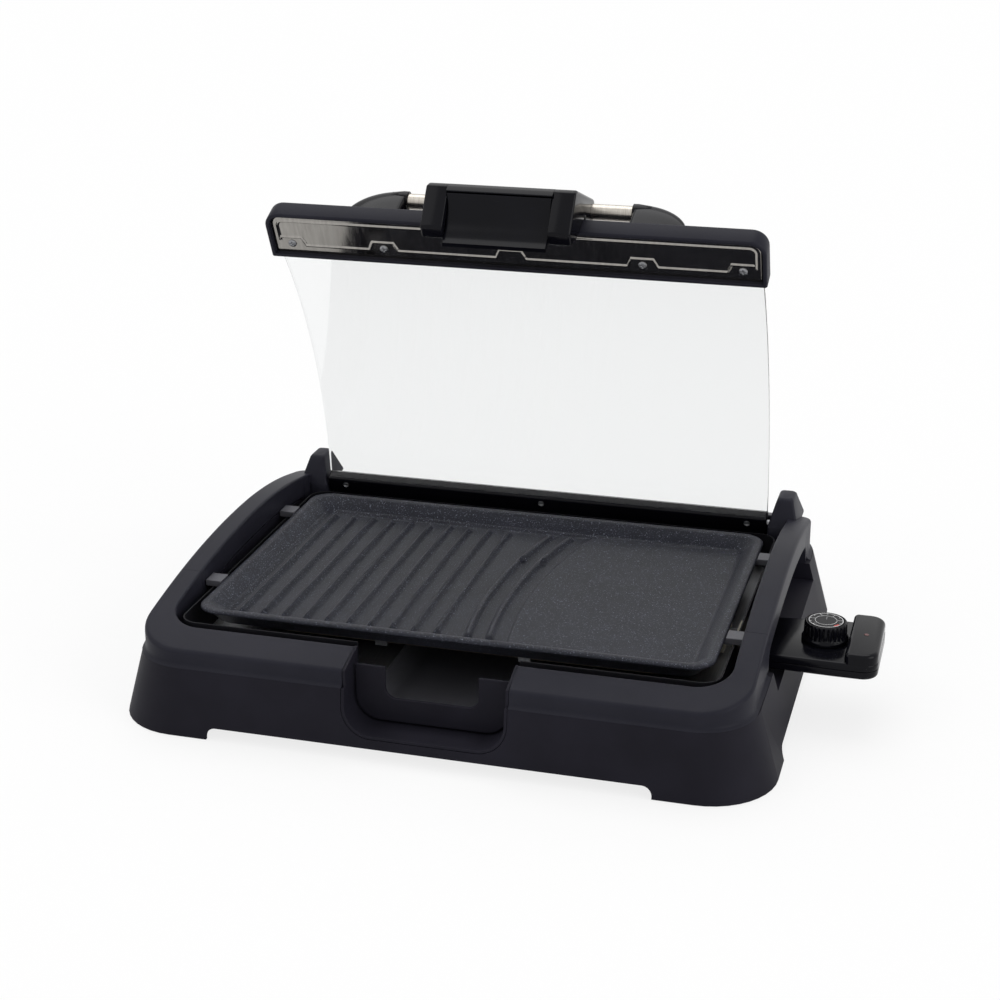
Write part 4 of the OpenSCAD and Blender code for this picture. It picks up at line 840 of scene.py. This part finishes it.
def numeral(text, angle):
    """A digit printed on the dial, made a mesh and set upright to the dial's rim."""
    curve = bpy.data.curves.new("digit", "FONT")
    curve.body, curve.size, curve.align_x, curve.align_y = text, 2.6, "CENTER", "CENTER"
    holder = bpy.data.objects.new("digit", curve)
    bpy.context.scene.collection.objects.link(holder)
    bpy.context.view_layer.update()
    flat = bpy.data.meshes.new_from_object(holder.evaluated_get(bpy.context.evaluated_depsgraph_get()))
    points = np.zeros(len(flat.vertices) * 3)
    flat.vertices.foreach_get("co", points)
    faces = [list(p.vertices) for p in flat.polygons]
    bpy.data.objects.remove(holder)
    bpy.data.curves.remove(curve)
    bpy.data.meshes.remove(flat)
    xy = points.reshape(-1, 3)[:, :2]
    a = math.radians(angle - 90)
    x = xy[:, 0] * math.cos(a) - xy[:, 1] * math.sin(a) + DIGIT_R * math.cos(math.radians(angle))
    y = xy[:, 0] * math.sin(a) + xy[:, 1] * math.cos(a) + DIGIT_R * math.sin(math.radians(angle))
    return np.column_stack([KNOB[0] + x, KNOB[1] + y, np.full(len(x), print_z + INK)]), faces


digits = joined(*[numeral(str(k + 1), START - SWEEP / 5 * k) for k in range(5)])
piece("dial_digits", digits, "knob", WHITE_PRINT, sharp=30, recalc=False)

# the solids that only need joining up, rounding by an edge width in mm, and a finish

for node, material, edge in (
        ("base_housing", BODY_ABS, 0.7), ("front_recess", BODY_ABS, 0.5), ("tray_front", BODY_ABS, 0.6),
        ("drip_pan", PAN_ABS, 0.5), ("inner_liner", LACQUER, 0.25), ("heat_shield", ROLLED, 0.15),
        ("plate_rests", PAN_ABS, 0.5), ("tray_runners", BODY_ABS, 0.4), ("foot_pads", RUBBER, 0.5),
        ("liner_screws", ZINC, 0.3), ("hinge_pins", ZINC, 0.3), ("heating_element", SHEATH, 0),
        ("element_clips", ZINC, 0.2), ("terminal_block", STEATITE, 0.5), ("contact_pins", ZINC, 0.3),
        ("glass_seal", RUBBER, 0.3), ("arm_bolts", ZINC, 0.3), ("latch_pin", ZINC, 0.2),
        ("latch_spring", ZINC, 0.2),
        ("probe_rod", ZINC, 0.3), ("socket_block", STEATITE, 0.4), ("probe_sockets", BRASS, 0.2),
        ("thermostat_switch", STEATITE, 0.5), ("probe_screws", ZINC, 0.2), ("indicator_lens", LENS, 0.4),
        ("cord_gland", RUBBER, 0.4), ("knob_shaft", BRASS, 0.3)):
    refined(node, material, edge)

# floor, light and camera

room = bpy.context.scene.world or bpy.data.worlds.new("room")
bpy.context.scene.world = room
room.use_nodes = True
tree = room.node_tree
tree.nodes.clear()
path = add(tree, "ShaderNodeLightPath")
seen = add(tree, "ShaderNodeMath", {0: path.outputs["Is Camera Ray"], 1: path.outputs["Is Transmission Ray"]},
           operation="MAXIMUM")
seen = add(tree, "ShaderNodeMath", {0: seen.outputs[0], 1: path.outputs["Is Glossy Ray"]},
           operation="MAXIMUM")
glow = add(tree, "ShaderNodeBackground", {"Color": (1, 1, 1, 1), "Strength": 0.5})
white = add(tree, "ShaderNodeBackground", {"Color": (1, 1, 1, 1), "Strength": 1.0})
mix = add(tree, "ShaderNodeMixShader", {0: seen.outputs[0], 1: glow.outputs[0], 2: white.outputs[0]})
add(tree, "ShaderNodeOutputWorld", {0: mix.outputs[0]})


def lamp(name, towards, level, spread):
    """A far soft light that comes from a direction, even over the whole stage."""
    data = bpy.data.lights.new(name, "SUN")
    data.energy, data.angle = level, math.radians(spread)
    obj = bpy.data.objects.new(name, data)
    obj.rotation_euler = Vector(towards).to_track_quat("Z", "Y").to_euler()
    bpy.context.scene.collection.objects.link(obj)


lamp("top_soft", (-0.15, 0.35, 1.0), 1.15, 50)
lamp("right_soft", (1.0, -0.35, 0.45), 0.9, 40)
lamp("left_soft", (-0.8, -0.6, 0.9), 0.35, 40)

# Matt paper floor: it takes the shadows, and shows near white to the camera
m, t, s, where = finish("studio_floor", **{"Roughness": 0.9, "Base Color": (0.95, 0.95, 0.95, 1),
                                           "Specular IOR Level": 0.0})
t.nodes.remove(next(n for n in t.nodes if n.type == "OUTPUT_MATERIAL"))
path = add(t, "ShaderNodeLightPath")
pale = add(t, "ShaderNodeEmission", {"Color": (1, 1, 1, 1), "Strength": 1.0})
part = add(t, "ShaderNodeMath", {0: path.outputs["Is Camera Ray"], 1: 0.8}, operation="MULTIPLY")
blend = add(t, "ShaderNodeMixShader", {0: part.outputs[0], 1: s.outputs[0], 2: pale.outputs[0]})
add(t, "ShaderNodeOutputMaterial", {0: blend.outputs[0]})
floor_mesh = bpy.data.meshes.new("floor")
FLOOR = 30
floor_mesh.from_pydata([(-FLOOR, -FLOOR, 0), (FLOOR, -FLOOR, 0), (FLOOR, FLOOR, 0), (-FLOOR, FLOOR, 0)], [],
                       [(0, 1, 2, 3)])
floor_mesh.materials.append(m)
floor = bpy.data.objects.new("floor", floor_mesh)
bpy.context.scene.collection.objects.link(floor)

# Camera fitted to the photograph: angles in degrees, distance and target in metres, focal length in pixels
CAM_AZ, CAM_EL, CAM_ROLL, CAM_FAR, CAM_FOCAL = 15.614, 20.689, -0.114, 2.015, 1914.0
CAM_TARGET = (-0.1261, 0.3476, 0.0081)
PICTURE, SENSOR = 1000, 36.0
az, el = math.radians(CAM_AZ), math.radians(CAM_EL)
back = Vector((math.sin(az) * math.cos(el), -math.cos(az) * math.cos(el), math.sin(el)))
camera_data = bpy.data.cameras.new("camera")
camera_data.sensor_width = SENSOR
camera_data.lens = SENSOR * CAM_FOCAL / PICTURE
camera_data.clip_end = 50
camera = bpy.data.objects.new("camera", camera_data)
camera.location = Vector(CAM_TARGET) + back * CAM_FAR
camera.rotation_euler = back.to_track_quat("Z", "Y").to_euler()
camera.rotation_euler.rotate_axis("Z", math.radians(CAM_ROLL))
bpy.context.scene.collection.objects.link(camera)
bpy.context.scene.camera = camera
bpy.context.scene.view_settings.view_transform = "Standard"
